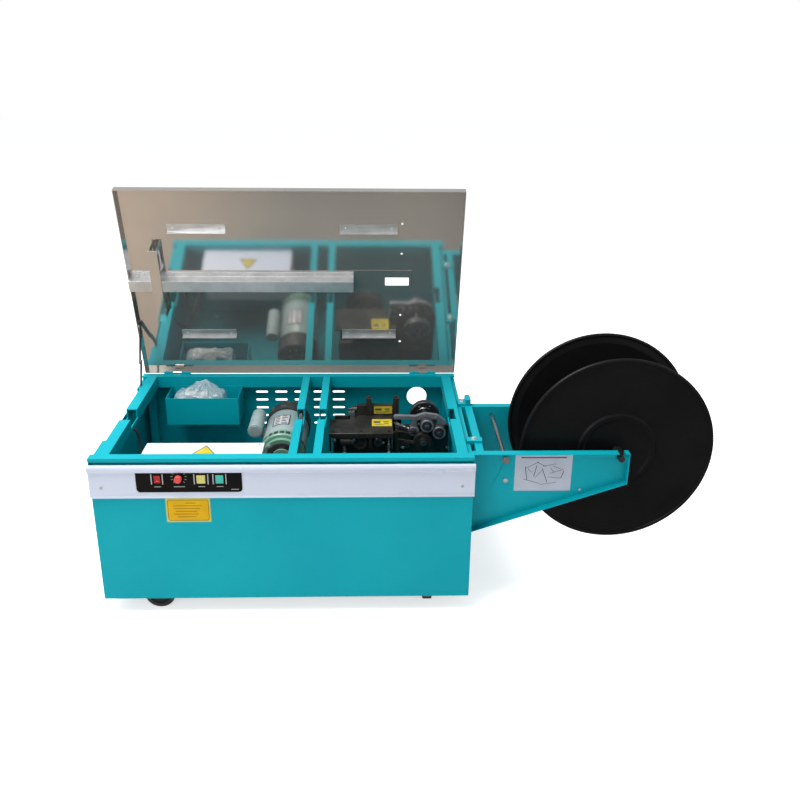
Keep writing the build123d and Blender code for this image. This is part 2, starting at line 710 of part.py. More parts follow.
# ---------------------------------------------------------------- table top, made on its own tilted plane
# On that plane x runs along the hinge, y away from the hinge and z from the table's top side to its underside.
skin = -lid_skirt + lid_sheet
lid_x = (lid_left, lid_left + lid_width)
window = ((right - 280, right - 136), (hinge_y - strap_line - 27, hinge_y - strap_line + 27))
pin_holes = ((right - 160, 466), (right - 160, 378), (right - 160, 185), (right - 160, 96))
hinge_places = (60.0, right - 130)
knuckle = 25.0
hinge_pin = 1.8
stay_pin = (153.0, -9.0)
stay_pin_radius = 3.0
with BuildPart(table) as table_top:
    block(lid_x, (-2, lid_depth), (-lid_skirt, skin))
    for x in ((lid_x[0], lid_x[0] + lid_sheet), (lid_x[1] - lid_sheet, lid_x[1])):
        block(x, (-2, lid_depth), (-lid_skirt, 0))
    for y in ((-2, -2 + lid_sheet), (lid_depth - lid_sheet, lid_depth)):
        block(lid_x, y, (-lid_skirt, 0))
    block(*window, (-lid_skirt, skin), Mode.SUBTRACT)
    for x, y in pin_holes:
        rod_z(x, y, (-lid_skirt, skin), 3, Mode.SUBTRACT)
    for x in hinge_places:
        for start in (x - running_gap, x + 2 * knuckle - running_gap):
            rod_x((start - 1, start + knuckle + 2 * running_gap + 1), 0, 0, hinge_radius + running_gap, Mode.SUBTRACT)
        block((x + knuckle + running_gap, x + 2 * knuckle - running_gap), (-0.5, 1.5), (-16, 0))
        rod_x((x + knuckle + running_gap, x + 2 * knuckle - running_gap), 0, 0, hinge_radius)
        rod_x((x, x + 3 * knuckle), 0, 0, hinge_pin + bore_gap, Mode.SUBTRACT)
    rod_x((lid_x[0] + lid_sheet, 9.7), *stay_pin, 6)
    rod_x((9.7, 12.8), *stay_pin, stay_pin_radius)
save(table_top, "table_top")

with BuildPart(cabinet) as hinge_brackets:
    for x in hinge_places:
        block((x, x + 3 * knuckle), (back - 22, hinge_y - hinge_radius - 1), (top, top + 2))
        for start in (x, x + 2 * knuckle):
            block((start, start + knuckle), (hinge_y - hinge_radius - 1, hinge_y), (top, top + 2))
            rod_x((start, start + knuckle), hinge_y, hinge_z, hinge_radius)
        rod_x((x - 1, x + 3 * knuckle + 1), hinge_y, hinge_z, hinge_pin)
save(hinge_brackets, "hinge_brackets")

strap_d = hinge_y - strap_line
channel_depth = 32.0
channel_x = (lid_x[0] + lid_sheet + 0.5, right - 290)
channel_low = skin + channel_depth
with BuildPart(table) as strap_channel:
    block(channel_x, (strap_d - 28, strap_d + 28), (skin, skin + 2))
    block(channel_x, (strap_d - 17, strap_d + 15), (skin, channel_low))
    block(channel_x, (strap_d - 15, strap_d + 13), (skin, channel_low - 2), Mode.SUBTRACT)
save(strap_channel, "strap_channel")

slot_plate_x = (channel_x[1], right - 132)
with BuildPart(table) as slot_plate:
    block(slot_plate_x, (strap_d - 34, strap_d + 34), (skin, skin + 1.5))
    block((right - 204, right - 139), (strap_d - 13, strap_d + 12), (skin, skin + 1.5), Mode.SUBTRACT)
save(slot_plate, "slot_plate")

gate_x = (70.0, 96.0)
with BuildPart(table) as stop_gate:
    block(gate_x, (strap_d - 108, strap_d + 108), (channel_low, channel_low + 3))
    for low, high in ((strap_d - 104, strap_d - 32), (strap_d + 32, strap_d + 104)):
        for x in (gate_x[0] + 2, gate_x[1] - 4.5):
            block((x, x + 2.5), (low, high), (skin, channel_low))
        block((gate_x[0], gate_x[1]), (low + 12, high - 12), (skin + 8, channel_low - 7), Mode.SUBTRACT)
save(stop_gate, "stop_gate")

bracket_x = ((124.0, 276.0), (right - 324, right - 172))
bracket_d = (lid_depth - 124, 114.0)
with BuildPart(table) as locating_brackets:
    for x in bracket_x:
        for low in bracket_d:
            block(x, (low, low + 22), (skin, skin + 1.5))
            block(x, (low, low + 1.5), (skin, skin + 12))
save(locating_brackets, "locating_brackets")

with BuildPart(table) as table_screws:
    for x in range(30, int(channel_x[1]), 95):
        for y in (strap_d - 22.5, strap_d + 21.5):
            rod_z(x, y, (skin + 2, skin + 4), 3)
    for x in bracket_x:
        for low in bracket_d:
            for along in (x[0] + 15, x[1] - 15):
                rod_z(along, low + 12, (skin + 1.5, skin + 3.5), 3.5)
save(table_screws, "table_screws")

# ---------------------------------------------------------------- folding stay of the table top
# Open, both links lie in one line from the stud on the left panel to the pin on the table top.
tilt = radians(lid_angle)
pin_y = hinge_y - stay_pin[0] * cos(tilt) - stay_pin[1] * sin(tilt)
pin_z = hinge_z + stay_pin[0] * sin(tilt) - stay_pin[1] * cos(tilt)
stay_span = hypot(pin_y - stay_pivot[0], pin_z - stay_pivot[1])
lower_share = 0.6
knee = (
    stay_pivot[0] + lower_share * (pin_y - stay_pivot[0]),
    stay_pivot[1] + lower_share * (pin_z - stay_pivot[1]),
)
stay_width = 14.0
for name, ends, x, bore in (
    ("stay_upper", ((pin_y, pin_z), knee), 10.0, stay_pin_radius),
    ("stay_lower", (stay_pivot, knee), 13.0, stay_stud),
):
    with BuildPart() as link:
        with BuildSketch(side(x)):
            links(ends, stay_width)
            with Locations(ends[0]):
                Circle(bore + bore_gap, mode=Mode.SUBTRACT)
        extrude(amount=2.5)
    save(link, name)
print("stay span", round(stay_span, 2), "knee", [round(v, 2) for v in knee])

# ---------------------------------------------------------------- reel bracket
arm_tip = right + arm_length
arm_foot = top - 224
arm_tip_foot = top - 92
arm_top = top - 10
web_gap = 10.0
arm_outline = ((right, arm_foot), (right, arm_top), (arm_tip, arm_top), (arm_tip, arm_tip_foot))
guide_rod_place = (right + 82, top - 33)
guide_rod_radius = 5.0
with BuildPart(cabinet) as reel_bracket:
    for plate, flange in ((arm_y[0] + sheet, arm_y[0]), (arm_y[1], arm_y[1] + arm_flange)):
        with BuildSketch(elevation(plate)):
            Polygon(*arm_outline, align=None)
        extrude(amount=sheet)
        with BuildSketch(elevation(flange)):
            Polygon(*arm_outline, align=None)
            offset(amount=-sheet, kind=Kind.INTERSECTION, mode=Mode.SUBTRACT)
        extrude(amount=arm_flange)
    web_x = (right + web_gap, right + web_gap + sheet)
    block(web_x, (arm_y[0], arm_y[1]), (arm_foot + 8, arm_top))
    block((web_x[0], right + 29), (arm_y[0], arm_y[1]), (arm_top - sheet, arm_top))
    block((web_x[0] - 1, web_x[1] + 1), *strap_inlet, Mode.SUBTRACT)
    block((right - 8, right + 30), (98, 122), (side_rise, side_rise + 8))
    block((right - 8, right + 26), (arm_y[1] + 2, arm_y[1] + 40), (side_rise, side_rise + 8))
    block((right + 12, right + 26), (arm_y[1] + 2, arm_y[1] + 40), (side_rise + 8, side_rise + 20))
    span = (arm_y[0] - arm_flange - 1, arm_y[1] + arm_flange + 1)
    rod_y(axle_x, span, axle_z, axle_radius + 0.2, Mode.SUBTRACT)
    block((axle_x - axle_radius - 0.2, axle_x + axle_radius + 0.2), span, (axle_z, arm_top + 1), Mode.SUBTRACT)
    rod_y(guide_rod_place[0], span, guide_rod_place[1], guide_rod_radius, Mode.SUBTRACT)
save(reel_bracket, "reel_bracket")

with BuildPart(cabinet) as guide_rod:
    rod_y(guide_rod_place[0], (arm_y[0] - 9, arm_y[1] + 9), guide_rod_place[1], guide_rod_radius)
    for y in ((arm_y[0] - 5, arm_y[0]), (arm_y[1], arm_y[1] + 5)):
        rod_y(guide_rod_place[0], y, guide_rod_place[1], 9)
save(guide_rod, "guide_rod")

# ---------------------------------------------------------------- reel
reel_y = (92.0, 92.0 + reel_width)
disc_sheet = 2.8
drum_radius = 98.0
disc_profile = (
    (reel_bore, 0),
    (80, 0),
    (86, 4),
    (93, 4),
    (99, 0),
    (reel_radius - 25, -4),
    (reel_radius - 9, -1),
    (reel_radius - 9, 2),
    (reel_radius - 25, disc_sheet - 4),
    (99, disc_sheet),
    (94, disc_sheet + 4),
    (85, disc_sheet + 4),
    (79, disc_sheet),
    (reel_bore, disc_sheet),
)
axle_line = Axis((left + axle_x, front, axle_z), (0, 1, 0))
for name, y, outward in (("reel_disc_near", reel_y[0], -1), ("reel_disc_far", reel_y[1], 1)):
    radial = Plane((left + axle_x, front + y, axle_z), x_dir=(1, 0, 0), z_dir=(0, 0, outward))
    with BuildPart(cabinet) as disc:
        with BuildSketch(radial):
            Polygon(*disc_profile, align=None)
            with Locations((reel_radius - 5, 1)):
                Circle(5)
        revolve(axis=axle_line)
        if name == "reel_disc_far":
            rod_y(axle_x, reel_y, axle_z, drum_radius)
            rod_y(axle_x, reel_y, axle_z, drum_radius - 3, Mode.SUBTRACT)
            rod_y(axle_x, reel_y, axle_z, reel_bore + 5)
            rod_y(axle_x, (reel_y[1], reel_y[1] + disc_sheet), axle_z, drum_radius - 10)
            rod_y(axle_x, (reel_y[0], reel_y[1] + 10), axle_z, reel_bore, Mode.SUBTRACT)
    save(disc, name)

nut_near = (reel_y[0] - disc_sheet - running_gap - 12, reel_y[0] - disc_sheet - running_gap)
nut_far = (reel_y[1] + disc_sheet + running_gap, reel_y[1] + disc_sheet + running_gap + 12)
with BuildPart(cabinet) as reel_axle:
    rod_y(axle_x, (arm_y[0] - 15, arm_y[1] + 15), axle_z, axle_radius)
    for y in (nut_near, nut_far):
        with BuildSketch(elevation(y[1])):
            with Locations((axle_x, axle_z)):
                RegularPolygon(14, 6)
        extrude(amount=y[1] - y[0])
save(reel_axle, "reel_axle")

# ---------------------------------------------------------------- screws of the cabinet and bracket
with BuildPart(cabinet) as body_screws:
    for x in (25.0, right - 26.5):
        rod_y(x, (trim_face - 2, trim_face), top - 74, 3.5)
    rod_y(right + 85, (arm_y[0] - 5, arm_y[0]), top - 90, 5)
    rod_y(right + 269, (arm_y[0] - 3, arm_y[0]), top - 116, 3.5)
    rod_z(right + 10, 110, (side_rise + 8, side_rise + 13), 6)
    rod_z(right + 4, arm_y[1] + 21, (side_rise + 8, side_rise + 13), 6)
    for x in (box_x[0] + 12, box_x[1] - 12):
        rod_z(x, box_y[1] - 12, (box_z[1] + 2, box_z[1] + 4), 3.5)
save(body_screws, "body_screws")
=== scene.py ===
import json
from functools import partial
from math import cos, pi, radians, sin

import bmesh
import bpy
from mathutils import Matrix, Vector, noise


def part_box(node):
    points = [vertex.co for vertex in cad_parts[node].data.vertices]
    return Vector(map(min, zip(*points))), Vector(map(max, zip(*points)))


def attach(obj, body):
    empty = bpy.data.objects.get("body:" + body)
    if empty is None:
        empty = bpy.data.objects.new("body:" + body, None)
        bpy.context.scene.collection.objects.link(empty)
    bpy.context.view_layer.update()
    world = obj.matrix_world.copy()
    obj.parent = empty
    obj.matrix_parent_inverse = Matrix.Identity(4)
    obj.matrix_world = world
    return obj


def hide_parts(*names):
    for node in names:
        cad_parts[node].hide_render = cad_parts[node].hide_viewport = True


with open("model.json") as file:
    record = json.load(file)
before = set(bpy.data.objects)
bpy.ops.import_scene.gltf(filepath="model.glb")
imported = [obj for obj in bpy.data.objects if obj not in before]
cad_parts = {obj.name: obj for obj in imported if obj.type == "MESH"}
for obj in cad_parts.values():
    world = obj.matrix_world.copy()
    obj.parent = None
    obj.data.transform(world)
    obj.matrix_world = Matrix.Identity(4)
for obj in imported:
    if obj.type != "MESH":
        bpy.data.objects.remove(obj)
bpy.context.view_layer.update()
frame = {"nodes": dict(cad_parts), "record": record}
SCENE = bpy.context.scene
MM = 0.001
UP = Vector((0, 0, 1))
FRONT = Vector((0, -1, 0))


# ---------------------------------------------------------------- places read from the frame
def low(node):
    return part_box(node)[0]


def high(node):
    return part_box(node)[1]


def middle(node):
    lowest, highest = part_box(node)
    return (lowest + highest) / 2


CORNER = Vector((low("front_panel").x, low("front_panel").y, 0))
FRAME_TOP = high("top_frame").z


def at(x, y, z):
    """A point given in millimetres from the cabinet's front left corner and the floor."""
    return CORNER + Vector((x, y, z)) * MM


# ---------------------------------------------------------------- camera, floor and light
def make_camera():
    """A camera in front of the machine, right of its middle, looking a little down."""
    stand_off, eye_height, sideways = 1.8407, 1.3437, 0.6549
    place = CORNER + Vector((sideways, -stand_off, eye_height))
    yaw, pitch, roll = radians(1.942), radians(21.073), radians(-0.634)
    forward = Vector((sin(yaw) * cos(pitch), cos(yaw) * cos(pitch), -sin(pitch)))
    level = Vector((cos(yaw), -sin(yaw), 0))
    down = forward.cross(level)
    right = cos(roll) * level + sin(roll) * down
    down = -sin(roll) * level + cos(roll) * down
    turn = Matrix((right, -down, -forward)).transposed()
    data = bpy.data.cameras.new("camera")
    data.lens = 39.45
    data.sensor_width = 36
    data.shift_x = 0.0027
    data.shift_y = -0.0307
    camera = bpy.data.objects.new("camera", data)
    camera.matrix_world = Matrix.Translation(place) @ turn.to_4x4()
    SCENE.collection.objects.link(camera)
    SCENE.camera = camera


def add_light(name, place, aim, size, power, colour=(1, 1, 1)):
    data = bpy.data.lights.new(name, "AREA")
    data.shape = "RECTANGLE"
    data.size, data.size_y = size
    data.energy = power
    data.color = colour
    lamp = bpy.data.objects.new(name, data)
    lamp.location = place
    lamp.rotation_euler = (Vector(aim) - Vector(place)).to_track_quat("-Z", "Y").to_euler()
    SCENE.collection.objects.link(lamp)
    return lamp


def make_studio():
    """White all round for the eye; mirrors and gloss see a larger, dimmer room."""
    world = bpy.data.worlds.new("studio")
    world.use_nodes = True
    tree = world.node_tree
    shown = tree.nodes["Background"]
    shown.inputs["Color"].default_value = (1, 1, 1, 1)
    shown.inputs["Strength"].default_value = 1.0
    room = tree.nodes.new("ShaderNodeBackground")
    room.inputs["Color"].default_value = (0.93, 0.96, 1, 1)
    room.inputs["Strength"].default_value = 0.42
    paths = tree.nodes.new("ShaderNodeLightPath")
    mix = tree.nodes.new("ShaderNodeMixShader")
    link(tree, paths, "Is Camera Ray", mix, "Fac")
    tree.links.new(room.outputs[0], mix.inputs[1])
    tree.links.new(shown.outputs[0], mix.inputs[2])
    tree.links.new(mix.outputs[0], tree.nodes["World Output"].inputs["Surface"])
    SCENE.world = world
    SCENE.view_settings.view_transform = "Standard"
    add_light("overhead", (-1.0, -0.35, 2.9), (-0.1, 0, 0.3), (2.0, 1.5), 112)
    add_light("key_left", (-2.2, -2.8, 1.7), (-0.1, 0, 0.35), (1.6, 1.6), 15)
    add_light("fill_right", (2.6, -2.4, 1.4), (0.4, 0, 0.3), (1.6, 1.6), 8)
    back = add_light("back_left", (-1.9, 2.6, 1.7), (-0.6, 0, 0.4), (2.0, 1.3), 42, (0.95, 0.99, 1))
    back.visible_glossy = False
    mesh = bpy.data.meshes.new("floor")
    reach = 14.0
    corners = [(-reach, -reach, 0), (reach, -reach, 0), (reach, reach, 0), (-reach, reach, 0)]
    mesh.from_pydata(corners, [], [(0, 1, 2, 3)])
    floor = bpy.data.objects.new("floor", mesh)
    SCENE.collection.objects.link(floor)
    floor.data.materials.append(floor_paint())


def floor_paint():
    """Pale floor that keeps soft shadows; seen in a mirror or in gloss it glows with a painted reflection,
    warm and bright towards -X and dark grey towards +X.
    """
    material = surface("floor_paint", (0.95, 0.95, 0.95), (0.93, 0.93, 0.93), rough=(0.7, 0.8), specular=0.1)
    tree = material.node_tree
    shader = tree.nodes["Principled BSDF"]
    coords = tree.nodes.new("ShaderNodeTexCoord")
    parts = tree.nodes.new("ShaderNodeSeparateXYZ")
    link(tree, coords, "Object", parts, "Vector")
    # Painted reflection: a glow that only glossy rays see, warm and bright at -X, fading to dark grey at +X.
    across = tree.nodes.new("ShaderNodeMapRange")
    across.inputs["From Min"].default_value = -1.5
    across.inputs["From Max"].default_value = 0.7
    link(tree, parts, "X", across, "Value")
    ramp = tree.nodes.new("ShaderNodeValToRGB")
    ramp.color_ramp.elements[0].color = (1.1, 0.84, 0.63, 1)
    ramp.color_ramp.elements[1].color = (0.24, 0.23, 0.21, 1)
    middle_stop = ramp.color_ramp.elements.new(0.45)
    middle_stop.color = (0.4, 0.37, 0.33, 1)
    link(tree, across, "Result", ramp, "Fac")
    painted_reflection_glow = tree.nodes.new("ShaderNodeEmission")
    link(tree, ramp, "Color", painted_reflection_glow, "Color")
    paths = tree.nodes.new("ShaderNodeLightPath")
    mix = tree.nodes.new("ShaderNodeMixShader")
    link(tree, paths, "Is Glossy Ray", mix, "Fac")
    tree.links.new(shader.outputs[0], mix.inputs[1])
    tree.links.new(painted_reflection_glow.outputs[0], mix.inputs[2])
    lift = tree.nodes.new("ShaderNodeEmission")
    lift.inputs["Strength"].default_value = 0.62
    seen = tree.nodes.new("ShaderNodeMixShader")
    glow = tree.nodes.new("ShaderNodeAddShader")
    tree.links.new(shader.outputs[0], glow.inputs[0])
    tree.links.new(lift.outputs[0], glow.inputs[1])
    link(tree, paths, "Is Camera Ray", seen, "Fac")
    tree.links.new(mix.outputs[0], seen.inputs[1])
    tree.links.new(glow.outputs[0], seen.inputs[2])
    tree.links.new(seen.outputs[0], tree.nodes["Material Output"].inputs["Surface"])
    return material


# ---------------------------------------------------------------- materials
def link(tree, start, out, end, inp):
    tree.links.new(start.outputs[out], end.inputs[inp])


def noise_node(tree, coords, scale, detail=4.0, stretch=(1, 1, 1)):
    mapping = tree.nodes.new("ShaderNodeMapping")
    mapping.inputs["Scale"].default_value = stretch
    link(tree, coords, "Object", mapping, "Vector")
    texture = tree.nodes.new("ShaderNodeTexNoise")
    texture.inputs["Scale"].default_value = scale
    texture.inputs["Detail"].default_value = detail
    link(tree, mapping, "Vector", texture, "Vector")
    return texture


def surface(
    name,
    colour,
    other,
    grain=9.0,
    rough=(0.35, 0.5),
    rough_grain=14.0,
    bump=0.03,
    bump_grain=450.0,
    bump_stretch=(1, 1, 1),
    metallic=0.0,
    coat=0.0,
    specular=0.5,
    alpha=1.0,
    dust=0.0,
    dust_colour=(0.45, 0.43, 0.4),
):
    """A material whose colour, roughness and relief all vary over the surface.

    The grains are noise scales per metre; dust is how much of its colour settles in specks.
    """
    speck_grain, speck_detail = 38.0, 8.0
    material = bpy.data.materials.new(name)
    material.use_nodes = True
    tree = material.node_tree
    shader = tree.nodes["Principled BSDF"]
    coords = tree.nodes.new("ShaderNodeTexCoord")

    patches = noise_node(tree, coords, grain, 6.0)
    ramp = tree.nodes.new("ShaderNodeValToRGB")
    ramp.color_ramp.elements[0].position = 0.35
    ramp.color_ramp.elements[1].position = 0.65
    ramp.color_ramp.elements[0].color = (*colour, 1)
    ramp.color_ramp.elements[1].color = (*other, 1)
    link(tree, patches, "Fac", ramp, "Fac")
    if dust:
        specks = noise_node(tree, coords, speck_grain, speck_detail)
        limit = tree.nodes.new("ShaderNodeMapRange")
        limit.inputs["From Min"].default_value = 0.52
        limit.inputs["From Max"].default_value = 0.78
        limit.inputs["To Max"].default_value = dust
        link(tree, specks, "Fac", limit, "Value")
        mix = tree.nodes.new("ShaderNodeMix")
        mix.data_type = "RGBA"
        link(tree, limit, "Result", mix, "Factor")
        tree.links.new(ramp.outputs["Color"], mix.inputs[6])
        mix.inputs[7].default_value = (*dust_colour, 1)
        tree.links.new(mix.outputs[2], shader.inputs["Base Color"])
    else:
        link(tree, ramp, "Color", shader, "Base Color")

    smears = noise_node(tree, coords, rough_grain, 5.0)
    spread_rough = tree.nodes.new("ShaderNodeMapRange")
    spread_rough.inputs["From Min"].default_value = 0.3
    spread_rough.inputs["From Max"].default_value = 0.7
    spread_rough.inputs["To Min"].default_value = rough[0]
    spread_rough.inputs["To Max"].default_value = rough[1]
    link(tree, smears, "Fac", spread_rough, "Value")
    link(tree, spread_rough, "Result", shader, "Roughness")

    fine = noise_node(tree, coords, bump_grain, 3.0, bump_stretch)
    relief = tree.nodes.new("ShaderNodeBump")
    relief.inputs["Strength"].default_value = bump
    relief.inputs["Distance"].default_value = 0.001
    link(tree, fine, "Fac", relief, "Height")
    link(tree, relief, "Normal", shader, "Normal")

    shader.inputs["Metallic"].default_value = metallic
    shader.inputs["Coat Weight"].default_value = coat
    shader.inputs["Coat Roughness"].default_value = 0.12
    shader.inputs["Specular IOR Level"].default_value = specular
    shader.inputs["Alpha"].default_value = alpha
    return material


def make_materials():
    teal, deep = (0.002, 0.35, 0.41), (0.001, 0.32, 0.385)
    return {
        "cabinet_teal": surface(
            "teal_paint", teal, deep, 3.0, (0.28, 0.42), bump=0.05, bump_grain=700, specular=0.13,
            dust=0.02, dust_colour=(0.12, 0.42, 0.45),
        ),
        "base_steel": surface(
            "teal_primer", (0.004, 0.2, 0.235), (0.004, 0.17, 0.2), 12, (0.45, 0.6), bump=0.1,
            specular=0.2, dust=0.1,
        ),
        "trim_white": surface(
            "white_enamel", (0.59, 0.63, 0.735), (0.575, 0.615, 0.72), 4, (0.27, 0.31), bump=0.03,
            specular=0.4, dust=0.02,
        ),
        "fascia_black": surface(
            "fascia_film", (0.006, 0.006, 0.006), (0.011, 0.009, 0.009), 20, (0.34, 0.46), bump=0.12,
            bump_grain=1500, specular=0.08,
        ),
        "rocker_red": surface(
            "red_rocker", (0.42, 0.012, 0.015), (0.3, 0.008, 0.012), 60, (0.16, 0.28), bump=0.05,
        ),
        "knob_red": surface(
            "red_knob", (0.72, 0.07, 0.06), (0.55, 0.05, 0.05), 70, (0.3, 0.42), bump=0.15,
            bump_grain=1800,
        ),
        "button_yellow": surface(
            "yellow_lens", (0.62, 0.57, 0.17), (0.5, 0.47, 0.13), 60, (0.18, 0.3), bump=0.05,
        ),
        "button_green": surface(
            "green_lens", (0.06, 0.5, 0.4), (0.04, 0.4, 0.33), 60, (0.18, 0.3), bump=0.05,
        ),
        "label_stock": surface(
            "label_film", (0.7, 0.41, 0.01), (0.64, 0.35, 0.008), 30, (0.35, 0.5), bump=0.05,
            specular=0.1,
        ),
        "box_steel": surface(
            "grey_enamel", (0.44, 0.47, 0.5), (0.41, 0.44, 0.47), 6, (0.4, 0.55), bump=0.08, dust=0.15,
        ),
        "lead_black": surface(
            "lead_sheath", (0.012, 0.012, 0.013), (0.022, 0.022, 0.022), 90, (0.45, 0.6), bump=0.15,
            bump_grain=1200,
        ),
        "motor_green": surface(
            "motor_enamel", (0.27, 0.345, 0.345), (0.23, 0.3, 0.3), 16, (0.3, 0.45), bump=0.35,
            bump_grain=420, coat=0.15, dust=0.2,
        ),
        "fan_black": surface(
            "black_enamel", (0.016, 0.016, 0.017), (0.03, 0.03, 0.03), 20, (0.4, 0.55), bump=0.25,
            dust=0.25,
        ),
        "shaft_steel": surface(
            "turned_steel", (0.56, 0.56, 0.56), (0.44, 0.44, 0.45), 40, (0.22, 0.36), bump=0.25,
            bump_grain=900, bump_stretch=(1, 6, 1), metallic=1,
        ),
        "pulley_black": surface(
            "pulley_iron", (0.03, 0.03, 0.032), (0.06, 0.058, 0.056), 60, (0.45, 0.6), bump=0.3,
            metallic=0.4, dust=0.2,
        ),
        "belt_rubber": surface(
            "belt_rubber", (0.014, 0.014, 0.014), (0.03, 0.029, 0.028), 80, (0.6, 0.75), bump=0.4,
            bump_grain=900, dust=0.25,
        ),
        "head_black": surface(
            "black_oxide", (0.022, 0.022, 0.02), (0.045, 0.043, 0.038), 26, (0.3, 0.5), bump=0.25,
            metallic=0.5, dust=0.25, dust_colour=(0.2, 0.19, 0.17),
        ),
        "spring_steel": surface(
            "spring_wire", (0.42, 0.42, 0.42), (0.3, 0.3, 0.3), 60, (0.25, 0.4), metallic=1,
        ),
        "roller_steel": surface(
            "ground_steel", (0.17, 0.17, 0.18), (0.1, 0.1, 0.11), 50, (0.25, 0.42), bump=0.3,
            bump_grain=900, bump_stretch=(1, 8, 1), metallic=0.9,
        ),
        "cast_grey": surface(
            "grey_casting", (0.24, 0.26, 0.28), (0.17, 0.18, 0.2), 40, (0.4, 0.55), bump=0.6,
            bump_grain=260, metallic=0.55, dust=0.2,
        ),
        "table_stainless": mirror_steel(),
        "screw_zinc": surface(
            "zinc_plate", (0.78, 0.78, 0.76), (0.62, 0.61, 0.58), 90, (0.24, 0.4), bump=0.1,
            metallic=0.7,
        ),
        "stay_steel": surface(
            "dark_zinc", (0.12, 0.12, 0.12), (0.07, 0.07, 0.07), 60, (0.35, 0.5), bump=0.2,
            metallic=0.9,
        ),
        "axle_dark": surface(
            "dark_steel", (0.07, 0.07, 0.075), (0.12, 0.12, 0.12), 50, (0.3, 0.45), bump=0.2,
            metallic=0.9,
        ),
        "reel_black": reel_plastic(),
        "fork_zinc": surface(
            "fork_zinc", (0.45, 0.46, 0.47), (0.34, 0.34, 0.35), 50, (0.28, 0.42), bump=0.2, metallic=1,
            dust=0.2,
        ),
        "wheel_rubber": surface(
            "wheel_rubber", (0.02, 0.02, 0.02), (0.035, 0.034, 0.033), 50, (0.55, 0.7), bump=0.3,
            dust=0.35,
        ),
        "bag_film": surface(
            "clear_film", (0.36, 0.5, 0.55), (0.62, 0.7, 0.74), 60, (0.1, 0.26), bump=0.6,
            bump_grain=110, alpha=0.46,
        ),
        "paper": surface("leaflet_paper", (0.66, 0.64, 0.6), (0.58, 0.57, 0.55), 40, (0.7, 0.85), bump=0.2),
        "label_edge": surface(
            "label_edge", (0.55, 0.53, 0.12), (0.5, 0.47, 0.1), 30, (0.35, 0.5), bump=0.05,
            specular=0.25,
        ),
        "label_line": surface(
            "label_line", (0.17, 0.085, 0.006), (0.13, 0.06, 0.005), 30, (0.4, 0.5), bump=0.05,
            specular=0.1,
        ),
        "label_grey": surface(
            "label_grey", (0.46, 0.49, 0.57), (0.42, 0.45, 0.52), 30, (0.35, 0.5), bump=0.05,
        ),
        "ink": surface("dark_ink", (0.03, 0.03, 0.035), (0.05, 0.05, 0.055), 60, (0.4, 0.55), bump=0.05),
        "pale_print": surface(
            "pale_print", (0.42, 0.43, 0.45), (0.36, 0.37, 0.39), 60, (0.4, 0.5), bump=0.05,
        ),
        "plate_yellow": surface(
            "yellow_plate", (0.56, 0.45, 0.025), (0.46, 0.37, 0.02), 40, (0.3, 0.45), bump=0.1,
            dust=0.15,
        ),
        "bell_green": surface(
            "bell_enamel", (0.17, 0.34, 0.25), (0.13, 0.28, 0.2), 20, (0.28, 0.42), bump=0.4,
            bump_grain=350, coat=0.2, dust=0.2,
        ),
        "brushed_steel": surface(
            "brushed_steel", (0.72, 0.72, 0.72), (0.6, 0.6, 0.6), 30, (0.26, 0.4), bump=0.15,
            bump_grain=300, bump_stretch=(1, 30, 30), metallic=0.75,
        ),
        "nameplate": surface(
            "nameplate_foil", (0.62, 0.62, 0.64), (0.52, 0.52, 0.54), 50, (0.3, 0.42), bump=0.1,
            metallic=0.3,
        ),
        "bright_steel": surface(
            "bright_steel", (0.6, 0.61, 0.63), (0.45, 0.46, 0.48), 50, (0.18, 0.32), bump=0.2,
            metallic=1,
        ),
    }


def mirror_steel():
    """Polished stainless sheet: fine brushing, broad warm and cool clouds, a few smudges."""
    return surface(
        "polished_stainless",
        (0.62, 0.585, 0.54),
        (0.5, 0.49, 0.47),
        grain=2.2,
        rough=(0.035, 0.07),
        rough_grain=7.0,
        bump=0.012,
        bump_grain=60.0,
        bump_stretch=(1, 40, 40),
        metallic=0.82,
        dust=0.1,
        dust_colour=(0.7, 0.68, 0.64),
    )


def reel_plastic():
    """Black moulded sheet with soft orange peel and light scuffs."""
    return surface(
        "reel_plastic",
        (0.0045, 0.0045, 0.005),
        (0.007, 0.007, 0.007),
        grain=5.0,
        rough=(0.3, 0.42),
        bump=0.12,
        bump_grain=320.0,
        specular=0.16,
        dust=0.02,
        dust_colour=(0.05, 0.05, 0.05),
    )


# ---------------------------------------------------------------- mesh helpers
def put(name, builder, body, material):
    """Makes an object from a function that fills a bmesh, and lets it ride on a body."""
    work = bmesh.new()
    builder(work)
    bmesh.ops.recalc_face_normals(work, faces=work.faces)
    mesh = bpy.data.meshes.new(name)
    work.to_mesh(mesh)
    work.free()
    mesh.materials.append(material)
    mesh.shade_smooth()
    mesh.set_sharp_from_angle(angle=radians(34))
    piece = bpy.data.objects.new(name, mesh)
    SCENE.collection.objects.link(piece)
    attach(piece, body)
    return piece


def slab(work, centre, size, soft=0.0004, turn=None):
    """A box with softened edges."""
    made = bmesh.ops.create_cube(work, size=1)
    verts = made["verts"]
    bmesh.ops.scale(work, vec=size, verts=verts)
    edges = list({edge for vert in verts for edge in vert.link_edges})
    rounded = bmesh.ops.bevel(work, geom=edges, offset=soft, segments=2, affect="EDGES", profile=0.6)
    old = {vert for vert in verts if vert.is_valid}
    verts = list(old | {vert for face in rounded["faces"] for vert in face.verts})
    if turn:
        bmesh.ops.rotate(work, cent=(0, 0, 0), matrix=turn, verts=verts)
    bmesh.ops.translate(work, vec=centre, verts=verts)
    return verts


def circle(work, centre, radius, across, other, steps):
    """A ring of new vertices round a centre, in the plane of two directions."""
    ring = []
    for step in range(steps):
        angle = 2 * pi * step / steps
        ring.append(work.verts.new(Vector(centre) + radius * (cos(angle) * across + sin(angle) * other)))
    return ring


def skin(work, rings):
    """Four-sided faces between rings that have as many vertices each."""
    for one, two in zip(rings, rings[1:]):
        for step in range(len(one)):
            after = (step + 1) % len(one)
            work.faces.new((one[step], one[after], two[after], two[step]))


